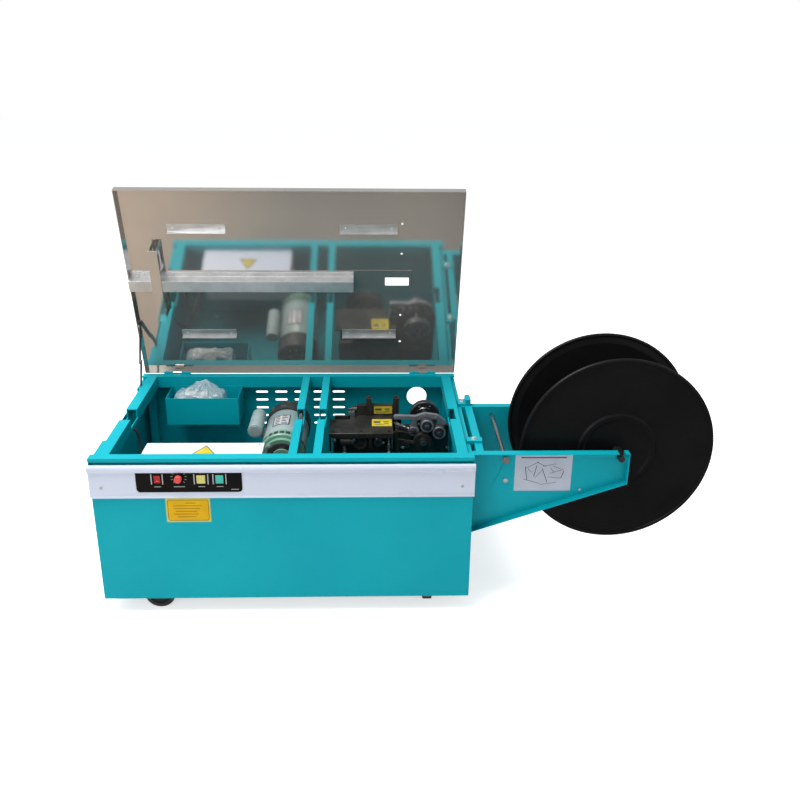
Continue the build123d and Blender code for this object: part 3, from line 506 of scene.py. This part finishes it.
def in_mm(*pairs):
    """Lathe profile pairs that are given in millimetres."""
    return [(along * MM, radius * MM) for along, radius in pairs]


def disc(radius, height, bevel=None):
    """Profile of a solid disc in millimetres. The bevel is taken off its far rim, along and inwards."""
    rim = [(height, radius)]
    if bevel:
        rim = [(height - bevel[0], radius), (height, radius - bevel[1])]
    return in_mm((0, 0), (0, radius), *rim, (height, 0))


def ring(inner, outer, height, bevel=None):
    """Profile of a ring in millimetres, with the same bevel as a disc."""
    return in_mm((0, inner)) + disc(outer, height, bevel)[1:-1] + in_mm((height, inner), (0, inner))


def helix(start, end, radius, turns, steps, across=None):
    """Points on a coil wound round the line from start to end."""
    along = (end - start).normalized()
    across = across or along.orthogonal().normalized()
    other = along.cross(across)
    points = []
    for step in range(turns * steps + 1):
        angle = 2 * pi * step / steps
        centre = start.lerp(end, step / (turns * steps))
        points.append(centre + radius * (cos(angle) * across + sin(angle) * other))
    return points


def turned(work, start, axis, profile, steps=40):
    """A lathe shape: profile holds (distance along the axis, radius) pairs."""
    axis = Vector(axis).normalized()
    across = axis.orthogonal().normalized()
    other = axis.cross(across)
    rings = []
    for along, radius in profile:
        centre = Vector(start) + axis * along
        if radius < 1e-7:
            rings.append([work.verts.new(centre)])
        else:
            rings.append(circle(work, centre, radius, across, other, steps))
    for one, two in zip(rings, rings[1:]):
        if len(one) == len(two):
            if len(one) > 1:
                skin(work, (one, two))
            continue
        for step in range(steps):
            after = (step + 1) % steps
            if len(one) == 1:
                work.faces.new((one[0], two[after], two[step]))
            else:
                work.faces.new((one[step], one[after], two[0]))


def tube(work, points, radius, sides=12):
    """A round bar along a list of points, with closed ends."""
    rings = []
    side = None
    for index, point in enumerate(points):
        ahead = points[min(index + 1, len(points) - 1)]
        behind = points[max(index - 1, 0)]
        along = (Vector(ahead) - Vector(behind)).normalized()
        side = along.orthogonal() if side is None else side - along * side.dot(along)
        side.normalize()
        rings.append(circle(work, point, radius, side, along.cross(side), sides))
    skin(work, rings)
    work.faces.new(rings[0])
    work.faces.new(rings[-1])


def hexagon_bolt(work, base, axis, radius, height):
    """A hexagon head with a chamfered top and a washer face under it."""
    axis = Vector(axis).normalized()
    turned(work, base, axis, disc(radius * 1.25 / MM, height * 0.18 / MM), 32)
    across = axis.orthogonal().normalized()
    other = axis.cross(across)
    rings = []
    for along, share in ((0.18, 1.0), (0.9, 1.0), (1.0, 0.86)):
        rings.append(circle(work, Vector(base) + axis * height * along, radius * share, across, other, 6))
    skin(work, rings)
    work.faces.new(rings[0])
    work.faces.new(rings[-1])


def pan_head(work, base, axis, radius, height):
    """A domed screw head with a cross recess."""
    axis = Vector(axis).normalized()
    across = axis.orthogonal().normalized()
    other = axis.cross(across)
    dome = [(0, radius), (height * 0.45, radius), (height * 0.8, radius * 0.82), (height, radius * 0.5)]
    steps = 24
    rings = [circle(work, Vector(base) + axis * along, reach, across, other, steps) for along, reach in dome]
    cross = []
    for step in range(steps):
        angle = 2 * pi * step / steps
        reach = radius * (0.46 if step % 6 in (0, 1, 5) else 0.16)
        spot = Vector(base) + axis * height
        cross.append(work.verts.new(spot + reach * (cos(angle) * across + sin(angle) * other)))
    floor = [work.verts.new(vert.co - axis * height * 0.5) for vert in cross]
    rings += [cross, floor]
    skin(work, rings)
    work.faces.new(rings[0])
    work.faces.new(rings[-1])


# ---------------------------------------------------------------- the object's pieces
LID_ANGLE = radians(75.3)
LID_OUT = Vector((0, sin(LID_ANGLE), cos(LID_ANGLE)))


def repaint(made):
    """Every CAD node takes the finish of its material slot."""
    slots = {entry["node"]: entry["material_slot"] for entry in frame["record"]["subparts"]}
    for name, node in frame["nodes"].items():
        node.data.materials.clear()
        node.data.materials.append(made.get(slots[name]) or made["cabinet_teal"])
    frame["nodes"]["motor_end_bell"].data.materials[0] = made["bell_green"]
    for name in ("locating_brackets", "strap_channel"):
        frame["nodes"][name].data.materials[0] = made["brushed_steel"]


def islands(node):
    """The middle and size of each separate solid in a CAD node."""
    work = bmesh.new()
    work.from_mesh(frame["nodes"][node].data)
    bmesh.ops.remove_doubles(work, verts=work.verts, dist=1e-6)
    unseen = set(work.verts)
    found = []
    while unseen:
        stack = [unseen.pop()]
        group = []
        while stack:
            vert = stack.pop()
            group.append(vert.co.copy())
            for edge in vert.link_edges:
                far = edge.other_vert(vert)
                if far in unseen:
                    unseen.remove(far)
                    stack.append(far)
        lowest = Vector(min(co[i] for co in group) for i in range(3))
        highest = Vector(max(co[i] for co in group) for i in range(3))
        found.append(((lowest + highest) / 2, highest - lowest))
    work.free()
    return sorted(found, key=lambda item: tuple(round(v, 5) for v in item[0]))


def make_screws(made):
    """Domed heads in place of the plain ones, and hexagon heads in place of the wide ones."""

    def on_body(work):
        for spot, size in islands("body_screws"):
            on_front = min(size) == size.y
            out, tall, widest_pan = (FRONT, size.y, 9 * MM) if on_front else (UP, size.z, 11 * MM)
            head = hexagon_bolt if size.x > widest_pan else pan_head
            head(work, spot - out * tall / 2, out, size.x / 2, tall)

    screws = put("cabinet_screw_heads", on_body, "cabinet", made["screw_zinc"])
    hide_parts("body_screws")

    def on_table(work):
        for spot, size in islands("table_screws"):
            pan_head(work, spot + LID_OUT * MM, -LID_OUT, size.x / 2, 2 * MM)

    heads = put("table_screw_heads", on_table, "table", made["screw_zinc"])
    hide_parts("table_screws")


def make_springs(made):
    """Wound compression springs on their guide pins."""
    wire, radius, pin_radius, turns = 0.9 * MM, 6 * MM, 3, 9

    def build(work):
        for spot, size in islands("head_springs"):
            base, top = spot - UP * size.z / 2, spot + UP * size.z / 2
            tube(work, helix(base + UP * MM, top - UP * MM, radius, turns, 20, Vector((1, 0, 0))), wire, 8)
            turned(work, base, UP, disc(pin_radius, size.z / MM), 20)

    springs = put("coil_springs", build, "cabinet", made["spring_steel"])
    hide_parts("head_springs")


def soften_edges():
    """Rounds the folded and cut edges of the sheet-metal and machined nodes."""
    nodes_by_width = {
        0.3: ("locating_brackets", "control_fascia"),
        0.4: ("strap_channel", "stop_gate", "rear_panel", "front_trim"),
        0.5: ("tool_tray", "box_cover", "electrical_box"),
        0.6: ("front_panel", "left_panel", "right_panel", "head_top_plate", "head_frame"),
        0.8: ("top_frame", "reel_bracket", "cam_housing", "motor_body"),
        0.9: ("rear_block",),
        1.2: ("lever_arm",),
    }
    for width, names in nodes_by_width.items():
        for name in names:
            node = frame["nodes"][name]
            weld = node.modifiers.new("weld", "WELD")
            weld.merge_threshold = 0.00001
            bevel = node.modifiers.new("soft_edges", "BEVEL")
            bevel.width = width * MM
            bevel.segments = 2
            bevel.limit_method = "ANGLE"
            bevel.angle_limit = radians(50)
            bevel.harden_normals = True
            bevel.use_clamp_overlap = True


def sticker(work, centre, size, facing, turn=0.0, corner=0.0):
    """A thin flat plate with rounded corners. Its width runs along +X; facing is the way it looks."""
    facing = Vector(facing).normalized()
    across = Vector((1, 0, 0))
    up = facing.cross(across).normalized()
    if up.z < -0.01 or (abs(up.z) <= 0.01 and up.y < 0):
        up = -up
    wide, tall, thick = size
    corner = min(corner, wide / 2, tall / 2)
    twist = Matrix.Rotation(turn, 2)
    base, face = [], []
    for side_x, side_y, start in ((1, 1, 0), (-1, 1, 90), (-1, -1, 180), (1, -1, 270)):
        for step in range(5):
            angle = radians(start + 22.5 * step)
            x = side_x * (wide / 2 - corner) + corner * cos(angle)
            y = side_y * (tall / 2 - corner) + corner * sin(angle)
            u, v = twist @ Vector((x, y))
            spot = Vector(centre) + across * u + up * v
            base.append(work.verts.new(spot))
            face.append(work.verts.new(spot + facing * thick))
    skin(work, (base, face))
    work.faces.new(face)
    work.faces.new(base)


# ---------------------------------------------------------------- loose bag in the tray
def make_bag(made):
    """A clear bag gathered to a neck, with folded leaflets lying in it."""
    lowest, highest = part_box("parts_bag")
    span = highest - lowest
    crown = highest.z + 9 * MM
    foot = lowest.z + 71 * MM
    neck = Vector((lowest.x + 0.62 * span.x, lowest.y + 0.72 * span.y, crown))
    neck_radius, side_gap = 4 * MM, 3 * MM
    turns, rings = 144, 34
    hem_start, hem_drop = 0.86, 26 * MM
    pleat_depth = 9.24 * MM

    def reach(angle):
        """How far the film may run from the neck before it meets the side of the bag's box."""
        limits = []
        for axis, way in enumerate((cos(angle), sin(angle))):
            if abs(way) > 1e-6:
                side = highest[axis] - side_gap if way > 0 else lowest[axis] + side_gap
                limits.append((side - neck[axis]) / way)
        return min(limits)

    def film_point(share, angle):
        """A point of the film: share runs from the neck to the hem."""
        rounded = 0.5 * reach(angle) + 0.25 * (reach(angle - 0.12) + reach(angle + 0.12))
        far = min(rounded, reach(angle))
        radius = neck_radius + (far - neck_radius) * share
        height = foot + (crown - foot) * (1 - share) ** 1.35
        if share > hem_start:
            height -= hem_drop * ((share - hem_start) / (1 - hem_start)) ** 1.5
        pleat = sin(11 * angle + 1.5 * sin(2 * angle)) + 0.6 * sin(23 * angle + 1.0)
        height += pleat_depth * pleat * share * (1 - share)
        spot = Vector((neck.x + radius * cos(angle), neck.y + radius * sin(angle), height))
        crumple = 6 * MM * noise.noise(spot * 60) + 2.8 * MM * noise.noise(spot * 150)
        spot.z = min(spot.z + crumple * min(1, 3 * share), crown)
        return spot

    def build(work):
        grid = []
        for ring_step in range(rings + 1):
            share = ring_step / rings
            grid.append([work.verts.new(film_point(share, 2 * pi * step / turns)) for step in range(turns)])
        skin(work, grid)
        work.faces.new(grid[0])

    film = put("clear_parts_bag", build, "cabinet", made["bag_film"])
    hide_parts("parts_bag")

    wide, deep, columns, rows = 62 * MM, 36 * MM, 12, 8

    def leaflet(work, index, centre, turn, tilt):
        grid = []
        for column in range(columns + 1):
            line = []
            for row in range(rows + 1):
                u, v = (column / columns - 0.5) * wide, (row / rows - 0.5) * deep
                lift = 5 * MM * cos(u * 60 + index) + 3 * MM * noise.noise(Vector((u * 40, v * 40, index)))
                x, y = u * cos(turn) - v * sin(turn), u * sin(turn) + v * cos(turn)
                line.append(work.verts.new(centre + Vector((x, y, lift + u * tilt))))
            grid.append(line)
        for one, two in zip(grid, grid[1:]):
            for k in range(rows):
                work.faces.new((one[k], one[k + 1], two[k + 1], two[k]))

    def leaflets(work):
        """Each row: shares of the bag's width and depth, height in mm, turn and tilt."""
        places = ((0.32, 0.3, 62, 0.2, 0.12), (0.6, 0.34, 66, -0.25, -0.1), (0.46, 0.52, 75, 0.1, 0.1))
        for index, (share_x, share_y, height, turn, tilt) in enumerate(places):
            centre = lowest + Vector((share_x * span.x, share_y * span.y, height * MM))
            leaflet(work, index, centre, turn, tilt)

    papers = put("folded_leaflets", leaflets, "cabinet", made["paper"])
    thick = papers.modifiers.new("thick", "SOLIDIFY")
    thick.thickness = 0.8 * MM


# ---------------------------------------------------------------- plain labels
def make_front_label(made, spot, size):
    """The yellow plate under the trim: pale edge, dark ring, field and plain rules."""
    lift = 0.05 * MM
    face = spot + FRONT * size.y / 2
    edge_gap, ring_gap = 8 * MM, 10.5 * MM

    def edge(work):
        sticker(work, spot - FRONT * size.y / 2, (size.x, size.z, size.y), FRONT, corner=2 * MM)

    plate = put("front_label_edge", edge, "cabinet", made["label_edge"])
    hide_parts("labels")

    def ring_line(work):
        sticker(work, face, (size.x - edge_gap, size.z - edge_gap, lift), FRONT, corner=5 * MM)

    put("front_label_ring", ring_line, "cabinet", made["label_line"])

    def field(work):
        sticker(work, face + FRONT * lift, (size.x - ring_gap, size.z - ring_gap, lift), FRONT, corner=4 * MM)

    put("front_label_field", field, "cabinet", made["label_stock"])

    def rules(work):
        """Each row: left end from the plate's middle, and length, in mm."""
        lines = ((-6, 24), (-36, 68), (-34, 62), (-30, 50), (-34, 58), (-26, 44))
        for row, (start, width) in enumerate(lines):
            middle_x = (start + width / 2) * MM
            rule = face + Vector((middle_x, -2 * lift, size.z * (0.3 - 0.115 * row)))
            sticker(work, rule, (width * MM, 1.3 * MM, lift), FRONT, corner=0.5 * MM)

    put("front_label_rules", rules, "cabinet", made["label_line"])


def make_arm_label(made, spot, size):
    """The plate on the bracket's arm, with a generic line drawing."""
    lift = 0.05 * MM
    face = spot + FRONT * size.y / 2

    def plate(work):
        sticker(work, spot - FRONT * size.y / 2, (size.x, size.z, size.y), FRONT, corner=2 * MM)

    put("arm_label", plate, "cabinet", made["label_grey"])

    def sketch(work):
        """Each stroke: its place, width and height as shares of the plate, and its turn."""
        strokes = (
            (0, 0.4, 0.8, 0.03, 0), (-0.2, 0.2, 0.26, 0.012, 0.5), (-0.04, 0.22, 0.2, 0.012, -0.5),
            (-0.3, -0.02, 0.012, 0.36, 0.15), (-0.14, 0.04, 0.012, 0.3, -0.2),
            (-0.2, -0.24, 0.3, 0.012, -0.3),
            (0.03, -0.08, 0.012, 0.4, 0.35), (0.1, 0.2, 0.24, 0.01, 0.2), (0.26, 0.12, 0.2, 0.01, -0.4),
            (0.22, 0.02, 0.22, 0.01, 0.3), (0.34, -0.06, 0.012, 0.2, -0.3), (0.2, -0.14, 0.24, 0.01, -0.1),
            (0.1, -0.3, 0.3, 0.01, 0.15), (-0.08, -0.04, 0.2, 0.01, 0.9), (-0.24, 0.06, 0.1, 0.01, -0.8),
            (0.16, 0.06, 0.12, 0.01, -0.9),
        )
        for u, v, width, height, turn in strokes:
            stroke = face + Vector((u * size.x, 0, v * size.z))
            bar = (width * size.x, max(height * size.z, 0.9 * MM), lift)
            sticker(work, stroke, bar, FRONT, turn=turn, corner=0.4 * MM)

    put("arm_label_sketch", sketch, "cabinet", made["ink"])


def make_cover_sticker(made):
    """A plain yellow triangle with a dark edge on the electrical box's cover."""
    place_x, place_y, cover_top = 254, 89, high("box_cover").z / MM

    def triangle(work, scale, rise):
        lower, upper = [], []
        for dx, dy in ((0, 34), (-34, -25), (34, -25)):
            corner = at(place_x + scale * dx, place_y + scale * dy, cover_top + rise)
            lower.append(work.verts.new(corner))
            upper.append(work.verts.new(corner + UP * 0.15 * MM))
        skin(work, (lower, upper))
        work.faces.new(upper)
        work.faces.new(lower)

    for name, scale, rise, finish in (
        ("cover_sticker_edge", 0.86, 0.0, "ink"),
        ("cover_sticker", 0.72, 0.12, "plate_yellow"),
    ):
        put(name, lambda work: triangle(work, scale, rise), "cabinet", made[finish])


def make_head_labels(made):
    """One yellow plate on the rear block's face and one on the top plate, with plain dark marks."""
    plate_low, plate_high = low("head_top_plate"), high("head_top_plate")
    thick, mark = 0.4 * MM, 0.1 * MM
    on_block = Vector((plate_low.x + 144.5 * MM, low("rear_block").y + 4 * MM, plate_high.z + 15.5 * MM))
    on_plate = Vector((plate_low.x + 140.5 * MM, plate_low.y + 69 * MM, plate_high.z))

    def plates(work):
        sticker(work, on_block, (50 * MM, 22 * MM, thick), FRONT, corner=1 * MM)
        sticker(work, on_plate, (54 * MM, 46 * MM, thick), UP, corner=1 * MM)

    put("head_plates", plates, "cabinet", made["plate_yellow"])

    def marks(work):
        for du, dv, wide, tall in ((-13, 2, 18, 6), (11, 3, 14, 3), (12, -3, 12, 2.2), (-6, -6, 26, 1.8)):
            spot = on_block + FRONT * thick + Vector((du, 0, dv)) * MM
            sticker(work, spot, (wide * MM, tall * MM, mark), FRONT, corner=0.8 * MM)
            spot = on_plate + UP * thick + Vector((du, dv * 1.8, 0)) * MM
            sticker(work, spot, (wide * MM, tall * 1.8 * MM, mark), UP, corner=1 * MM)

    put("head_plate_marks", marks, "cabinet", made["ink"])


def make_labels(made):
    """Label plates with borders and plain rules, and no lettering."""
    front_label, arm_label = islands("labels")
    make_front_label(made, *front_label)
    make_arm_label(made, *arm_label)
    make_cover_sticker(made)
    make_head_labels(made)


# ---------------------------------------------------------------- control panel
def make_controls(made):
    """Guard bars beside the switches, printed rules, and the scale round the knob."""
    panel_low, panel_high = low("control_fascia"), high("control_fascia")
    face_y = panel_low.y + 2 * MM
    knob = middle("tension_knob")
    thin = 0.1 * MM

    def guards(work):
        for name in ("rocker_switch", "yellow_button", "green_button"):
            lowest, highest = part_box(name)
            for x in (lowest.x - 5.8 * MM, highest.x + 5.8 * MM):
                spot = Vector((x, panel_low.y - 0.2 * MM, (lowest.z + highest.z) / 2))
                slab(work, spot, (2.5 * MM, 1.0 * MM, 26.4 * MM), 0.3 * MM)

    put("switch_guards", guards, "cabinet", made["pale_print"])

    def prints(work):
        scale_radius, first, gap = 16.5 * MM, -135, 27
        for step in range(11):
            angle = radians(first + gap * step)
            spot = Vector((knob.x + scale_radius * sin(angle), face_y, knob.z + scale_radius * cos(angle)))
            if spot.z <= panel_high.z - 2 * MM:
                sticker(work, spot, (1.1 * MM, 4.5 * MM, thin), FRONT, turn=-angle, corner=0.4 * MM)
        rules = [(middle(name).x, 14.5, 16) for name in ("rocker_switch", "yellow_button", "green_button")]
        rules += [(knob.x, 14.5, 26), (panel_high.x - 17 * MM, 7, 18)]
        for x, rise, wide in rules:
            spot = Vector((x, face_y, panel_low.z + rise * MM))
            sticker(work, spot, (wide * MM, 1.6 * MM, thin), FRONT, corner=0.6 * MM)

    put("panel_prints", prints, "cabinet", made["pale_print"])

    def skirt(work):
        """A ribbed black skirt round the knob's base."""
        lowest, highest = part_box("tension_knob")
        radius = (highest.x - lowest.x) / 2 / MM
        start = face_y - 0.3 * MM
        turned(work, (knob.x, start, knob.z), FRONT, disc(radius + 0.3, 4.9, (0.4, 0.8)), 48)
        for step in range(24):
            angle = 2 * pi * step / 24
            reach = (radius + 0.2) * MM
            spot = Vector((knob.x + reach * cos(angle), start - 1.6 * MM, knob.z + reach * sin(angle)))
            slab(work, spot, (0.7 * MM, 2.2 * MM, 0.7 * MM), 0.15 * MM)

    put("knob_skirt", skirt, "knob", made["fascia_black"])

    def rocker_mark(work):
        lowest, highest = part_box("rocker_switch")
        spot = Vector(((lowest.x + highest.x) / 2, lowest.y + 1.45 * MM, lowest.z + 5.2 * MM))
        sticker(work, spot, (2.6 * MM, 0.9 * MM, 0.3 * MM), (0, -1, 0.2), corner=0.3 * MM)

    put("rocker_mark", rocker_mark, "rocker", made["pale_print"])


# ---------------------------------------------------------------- motor
def round_patch(work, axis, angles, ends, radius, thick, steps):
    """A plate bent round the motor: angles run from straight up towards +X, ends from y to y."""
    first, last = angles
    start, end = ends
    rows = []
    for step in range(steps + 1):
        angle = radians(first + (last - first) * step / steps)
        way = Vector((sin(angle), 0, cos(angle)))
        inner, outer = axis + way * radius, axis + way * (radius + thick)
        corners = ((inner, start), (inner, end), (outer, end), (outer, start))
        rows.append([work.verts.new(Vector((point.x, y, point.z))) for point, y in corners])
    skin(work, rows)
    work.faces.new(rows[0])
    work.faces.new(rows[-1])


def make_nameplate(made, axis, radius):
    """The motor's plate: dark edge, pale foil and two columns of plain bars."""
    start, end = CORNER.y + 281 * MM, CORNER.y + 343 * MM
    border = 4 * MM

    def edge(work):
        round_patch(work, axis, (-32, 14), (start, end), radius, 0.5 * MM, 14)

    put("motor_plate_edge", edge, "cabinet", made["ink"])

    def foil(work):
        round_patch(work, axis, (-29, 11), (start + border, end - border), radius + 0.3 * MM, 0.5 * MM, 14)

    put("motor_plate", foil, "cabinet", made["nameplate"])

    def bars(work):
        for row in range(5):
            bar = start + (9 + 10.5 * row) * MM
            for angles in ((-25, -14 + 2 * (row % 2)), (-8, 7 - 3 * (row % 3))):
                round_patch(work, axis, angles, (bar, bar + 4.5 * MM), radius + 0.7 * MM, 0.2 * MM, 6)

    put("motor_plate_rules", bars, "cabinet", made["ink"])


def make_motor_details(made):
    """Name plate, black strips of painted shade for the end bell's vent slots, grille and bolts, rims, and
    the capacitor's bands.
    """
    centre = middle("fan_cover")
    axis = Vector((centre.x, 0, centre.z))
    body_low, body_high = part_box("motor_body")
    bell_low, bell_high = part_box("motor_end_bell")
    radius = (bell_high.x - bell_low.x) / 2 - 2 * MM
    bell_face = bell_low.y + 8 * MM
    make_nameplate(made, axis, radius)

    def vent_shade_strips(work):
        # Thin black strips laid on the bell: painted shade standing for the dark openings of its vent slots.
        ends = (bell_high.y - 18 * MM, bell_high.y - 5 * MM)
        for step in range(-6, 7):
            angles = (15 * step - 5.6, 15 * step + 5.6)
            round_patch(work, axis, angles, ends, radius + 1.9 * MM, 0.3 * MM, 4)

    put("bell_vent_shade_strips", vent_shade_strips, "cabinet", made["fan_black"])

    def grille(work):
        start = (axis.x, bell_face - 0.4 * MM, axis.z)
        turned(work, start, FRONT, ring(26.8, 40.5, 2.2, (0.8, 2.5)), 48)

    put("bell_grille", grille, "cabinet", made["fan_black"])

    def bolts(work):
        for step in range(4):
            angle = radians(45 + 90 * step)
            spot = Vector((axis.x + 45 * MM * cos(angle), bell_face, axis.z + 45 * MM * sin(angle)))
            hexagon_bolt(work, spot, FRONT, 4.5 * MM, 4 * MM)

    put("bell_bolts", bolts, "cabinet", made["screw_zinc"])

    def rims(work):
        for y in (body_low.y + 4 * MM, body_high.y - 7 * MM):
            rim = ring(radius / MM - 2, radius / MM + 0.8, 3)
            turned(work, (axis.x, y, axis.z), -FRONT, rim, 72)

    put("motor_rims", rims, "cabinet", made["motor_green"])

    cap_low, cap_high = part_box("capacitor")
    cap = middle("capacitor")
    cap_radius = (cap_high.x - cap_low.x) / 2 / MM

    def bands(work):
        for y in (cap_low.y + 28 * MM, cap_high.y - 36 * MM):
            turned(work, (cap.x, y, cap.z), -FRONT, ring(cap_radius - 1, cap_radius + 0.6, 8), 48)
        lid = in_mm((0, 0), (0, cap_radius - 4), (1.2, cap_radius - 5), (1.2, 0))
        turned(work, (cap.x, cap_low.y + 0.2 * MM, cap.z), FRONT, lid, 40)

    put("capacitor_bands", bands, "cabinet", made["motor_green"])


# ---------------------------------------------------------------- strapping head
def make_head_details(made):
    """Bolts, bright fittings, dark workings and a pull spring round the head's top plate."""
    plate_low, plate_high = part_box("head_top_plate")

    def from_plate(x, y, z):
        """A point in millimetres from the top plate's lowest front left corner."""
        return plate_low + Vector((x, y, z)) * MM

    def bolts(work):
        socket = in_mm((0, 0), (0, 4.2), (2.6, 4.2), (3, 3.6), (3, 2.2), (1.2, 2.2), (1.2, 0))
        for x, y in ((12, 14), (158, 14), (12, 80), (85, 14)):
            turned(work, from_plate(x, y, (plate_high.z - plate_low.z) / MM), UP, socket, 24)
        block_low, block_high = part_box("rear_block")
        for inset in (10, 82):
            spot = Vector((block_high.x - inset * MM, block_low.y + 12 * MM, block_high.z))
            hexagon_bolt(work, spot, UP, 4.5 * MM, 3 * MM)

    put("head_bolts", bolts, "cabinet", made["head_black"])

    def bright(work):
        """Each bolt: its place from the plate, and its radius, in mm."""
        front_bolts = (
            (14, 6, -9, 4.5), (60, 6, -13, 5), (66, 6, -8, 3.5), (126, 4, -4, 3),
            (144, 4, -15, 3), (195, -10, -22, 3.5), (312, -14, -20, 3.2),
        )
        for x, y, z, radius in front_bolts:
            hexagon_bolt(work, from_plate(x, y, z), FRONT, radius * MM, 4 * MM)
        slab(work, from_plate(167, 12, -16), (3 * MM, 20 * MM, 30 * MM), 0.6 * MM)
        slab(work, from_plate(58, 112, 28), (17 * MM, 12 * MM, 3 * MM), 0.6 * MM)
        slab(work, from_plate(58, 106.5, 20), (17 * MM, 1.5 * MM, 16 * MM), 0.4 * MM)

    put("head_bright_parts", bright, "cabinet", made["bright_steel"])

    def dark(work):
        """Solenoids, a bearing cap and tie rods seen under the top plate and right of it."""
        solenoid = in_mm((0, 0), (0, 9), (2, 11.5), (28, 11.5), (30, 9), (30, 0))
        turned(work, from_plate(29, 10, -12), (1, 0, 0), solenoid, 32)
        bearing_cap = in_mm((0, 0), (0, 19), (3, 19), (3.5, 15), (2, 12), (2, 7), (5, 6), (5, 0))
        turned(work, from_plate(82, 8, -16), FRONT, bearing_cap, 40)
        small_cap = in_mm((0, 0), (0, 12), (4, 12), (6, 9), (6, 4), (3, 4), (3, 0))
        turned(work, from_plate(130, 10, -15), FRONT, small_cap, 32)
        for x, z in ((176, 20), (182, -4), (198, -11)):
            turned(work, from_plate(x, 2, z), (1, 0, -0.15), disc(2.2, 42), 16)
        blocks = (
            ((109, 12, -16), (8, 18, 28), 0.8), ((3, 8, -16), (5, 22, 40), 0.8),
            ((202, 16, -4), (26, 8, 60), 1.2), ((181, 18, -11), (12, 10, 74), 1.0),
        )
        for place, size, soft in blocks:
            slab(work, from_plate(*place), Vector(size) * MM, soft * MM)
        leaning = Matrix.Rotation(0.35, 3, "Y")
        slab(work, from_plate(191, 4, 16), (34 * MM, 5 * MM, 7 * MM), 0.8 * MM, leaning)

    put("head_dark_parts", dark, "cabinet", made["head_black"])

    def pull_spring(work):
        start, end = from_plate(176, 2, 42), from_plate(211, 4, 25)
        along = (end - start).normalized()
        tube(work, helix(start, end, 3.6 * MM, 14, 16), 0.6 * MM, 6)
        tube(work, [start - along * 6 * MM, start, end, end + along * 6 * MM], 1.2 * MM, 8)

    put("head_pull_spring", pull_spring, "cabinet", made["spring_steel"])


def make_lever_details(made):
    """Hubs on the lever, nuts on the studs, and turned rims on the rollers and the guide wheel."""
    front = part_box("lever_arm")[0].y
    pivot = CORNER + Vector((770 * MM, 0, 0)) + UP * (FRAME_TOP - 56 * MM)

    def hubs(work):
        turned(work, (pivot.x, front, pivot.z), FRONT, ring(6.5, 12.8, 2.4, (0.8, 1.0)), 40)
        for x, drop in ((798.5, 11.5), (828.5, 17.5)):
            spot = (CORNER.x + x * MM, front, FRAME_TOP - drop * MM)
            turned(work, spot, FRONT, disc(3.4, 2, (0.4, 0.6)), 28)
        turned(work, (CORNER.x + 723.5 * MM, front, FRAME_TOP - 17 * MM), FRONT, disc(3.6, 2), 24)

    put("lever_hubs", hubs, "lever", made["cast_grey"])

    rollers = {"feed_roller": "feed", "pinch_roller": "pinch"}
    wheel_low, wheel_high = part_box("guide_wheel")
    wheel = (wheel_low + wheel_high) / 2

    def nuts(work):
        for name in rollers:
            spot = middle(name)
            hexagon_bolt(work, Vector((spot.x, low(name).y - 2.2 * MM, spot.z)), FRONT, 6.2 * MM, 4.5 * MM)
        hexagon_bolt(work, Vector((pivot.x, front - 4.2 * MM, pivot.z)), FRONT, 6.4 * MM, 3.5 * MM)
        hexagon_bolt(work, at(794, 242.2, 350), FRONT, 7.5 * MM, 4.5 * MM)
        hexagon_bolt(work, Vector((wheel.x, wheel_low.y - 1.2 * MM, wheel.z)), FRONT, 7 * MM, 4 * MM)

    put("stud_nuts", nuts, "cabinet", made["roller_steel"])

    for name, body in rollers.items():
        lowest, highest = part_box(name)
        spot, radius = middle(name), (highest.x - lowest.x) / 2 / MM
        start = (spot.x, lowest.y + 0.3 * MM, spot.z)
        inner, outer = (0, radius - 5.2), (0, radius - 1.2)
        rim = in_mm(inner, outer, (1.2, radius - 1.8), (1.2, radius - 4.6), inner)
        face_ring = partial(turned, start=start, axis=FRONT, profile=rim, steps=48)
        put(name + "_rim", face_ring, body, made["cast_grey"])

    def wheel_faces(work):
        face = wheel_low.y + 3.4 * MM
        hub = in_mm((0, 12), (0, 24), (2.2, 22.5), (2.2, 13.5), (0, 12))
        turned(work, (wheel.x, face, wheel.z), FRONT, hub, 48)
        for step in range(6):
            angle, reach = pi / 3 * step, 29 * MM
            spot = Vector((wheel.x + reach * cos(angle), face + 0.2 * MM, wheel.z + reach * sin(angle)))
            hexagon_bolt(work, spot, FRONT, 2.6 * MM, 2.2 * MM)

    put("guide_wheel_hub", wheel_faces, "wheel_guide", made["bright_steel"])


def main():
    made = make_materials()
    repaint(made)
    make_camera()
    make_studio()
    make_screws(made)
    make_springs(made)
    soften_edges()
    make_bag(made)
    make_labels(made)
    make_controls(made)
    make_motor_details(made)
    make_head_details(made)
    make_lever_details(made)


main()
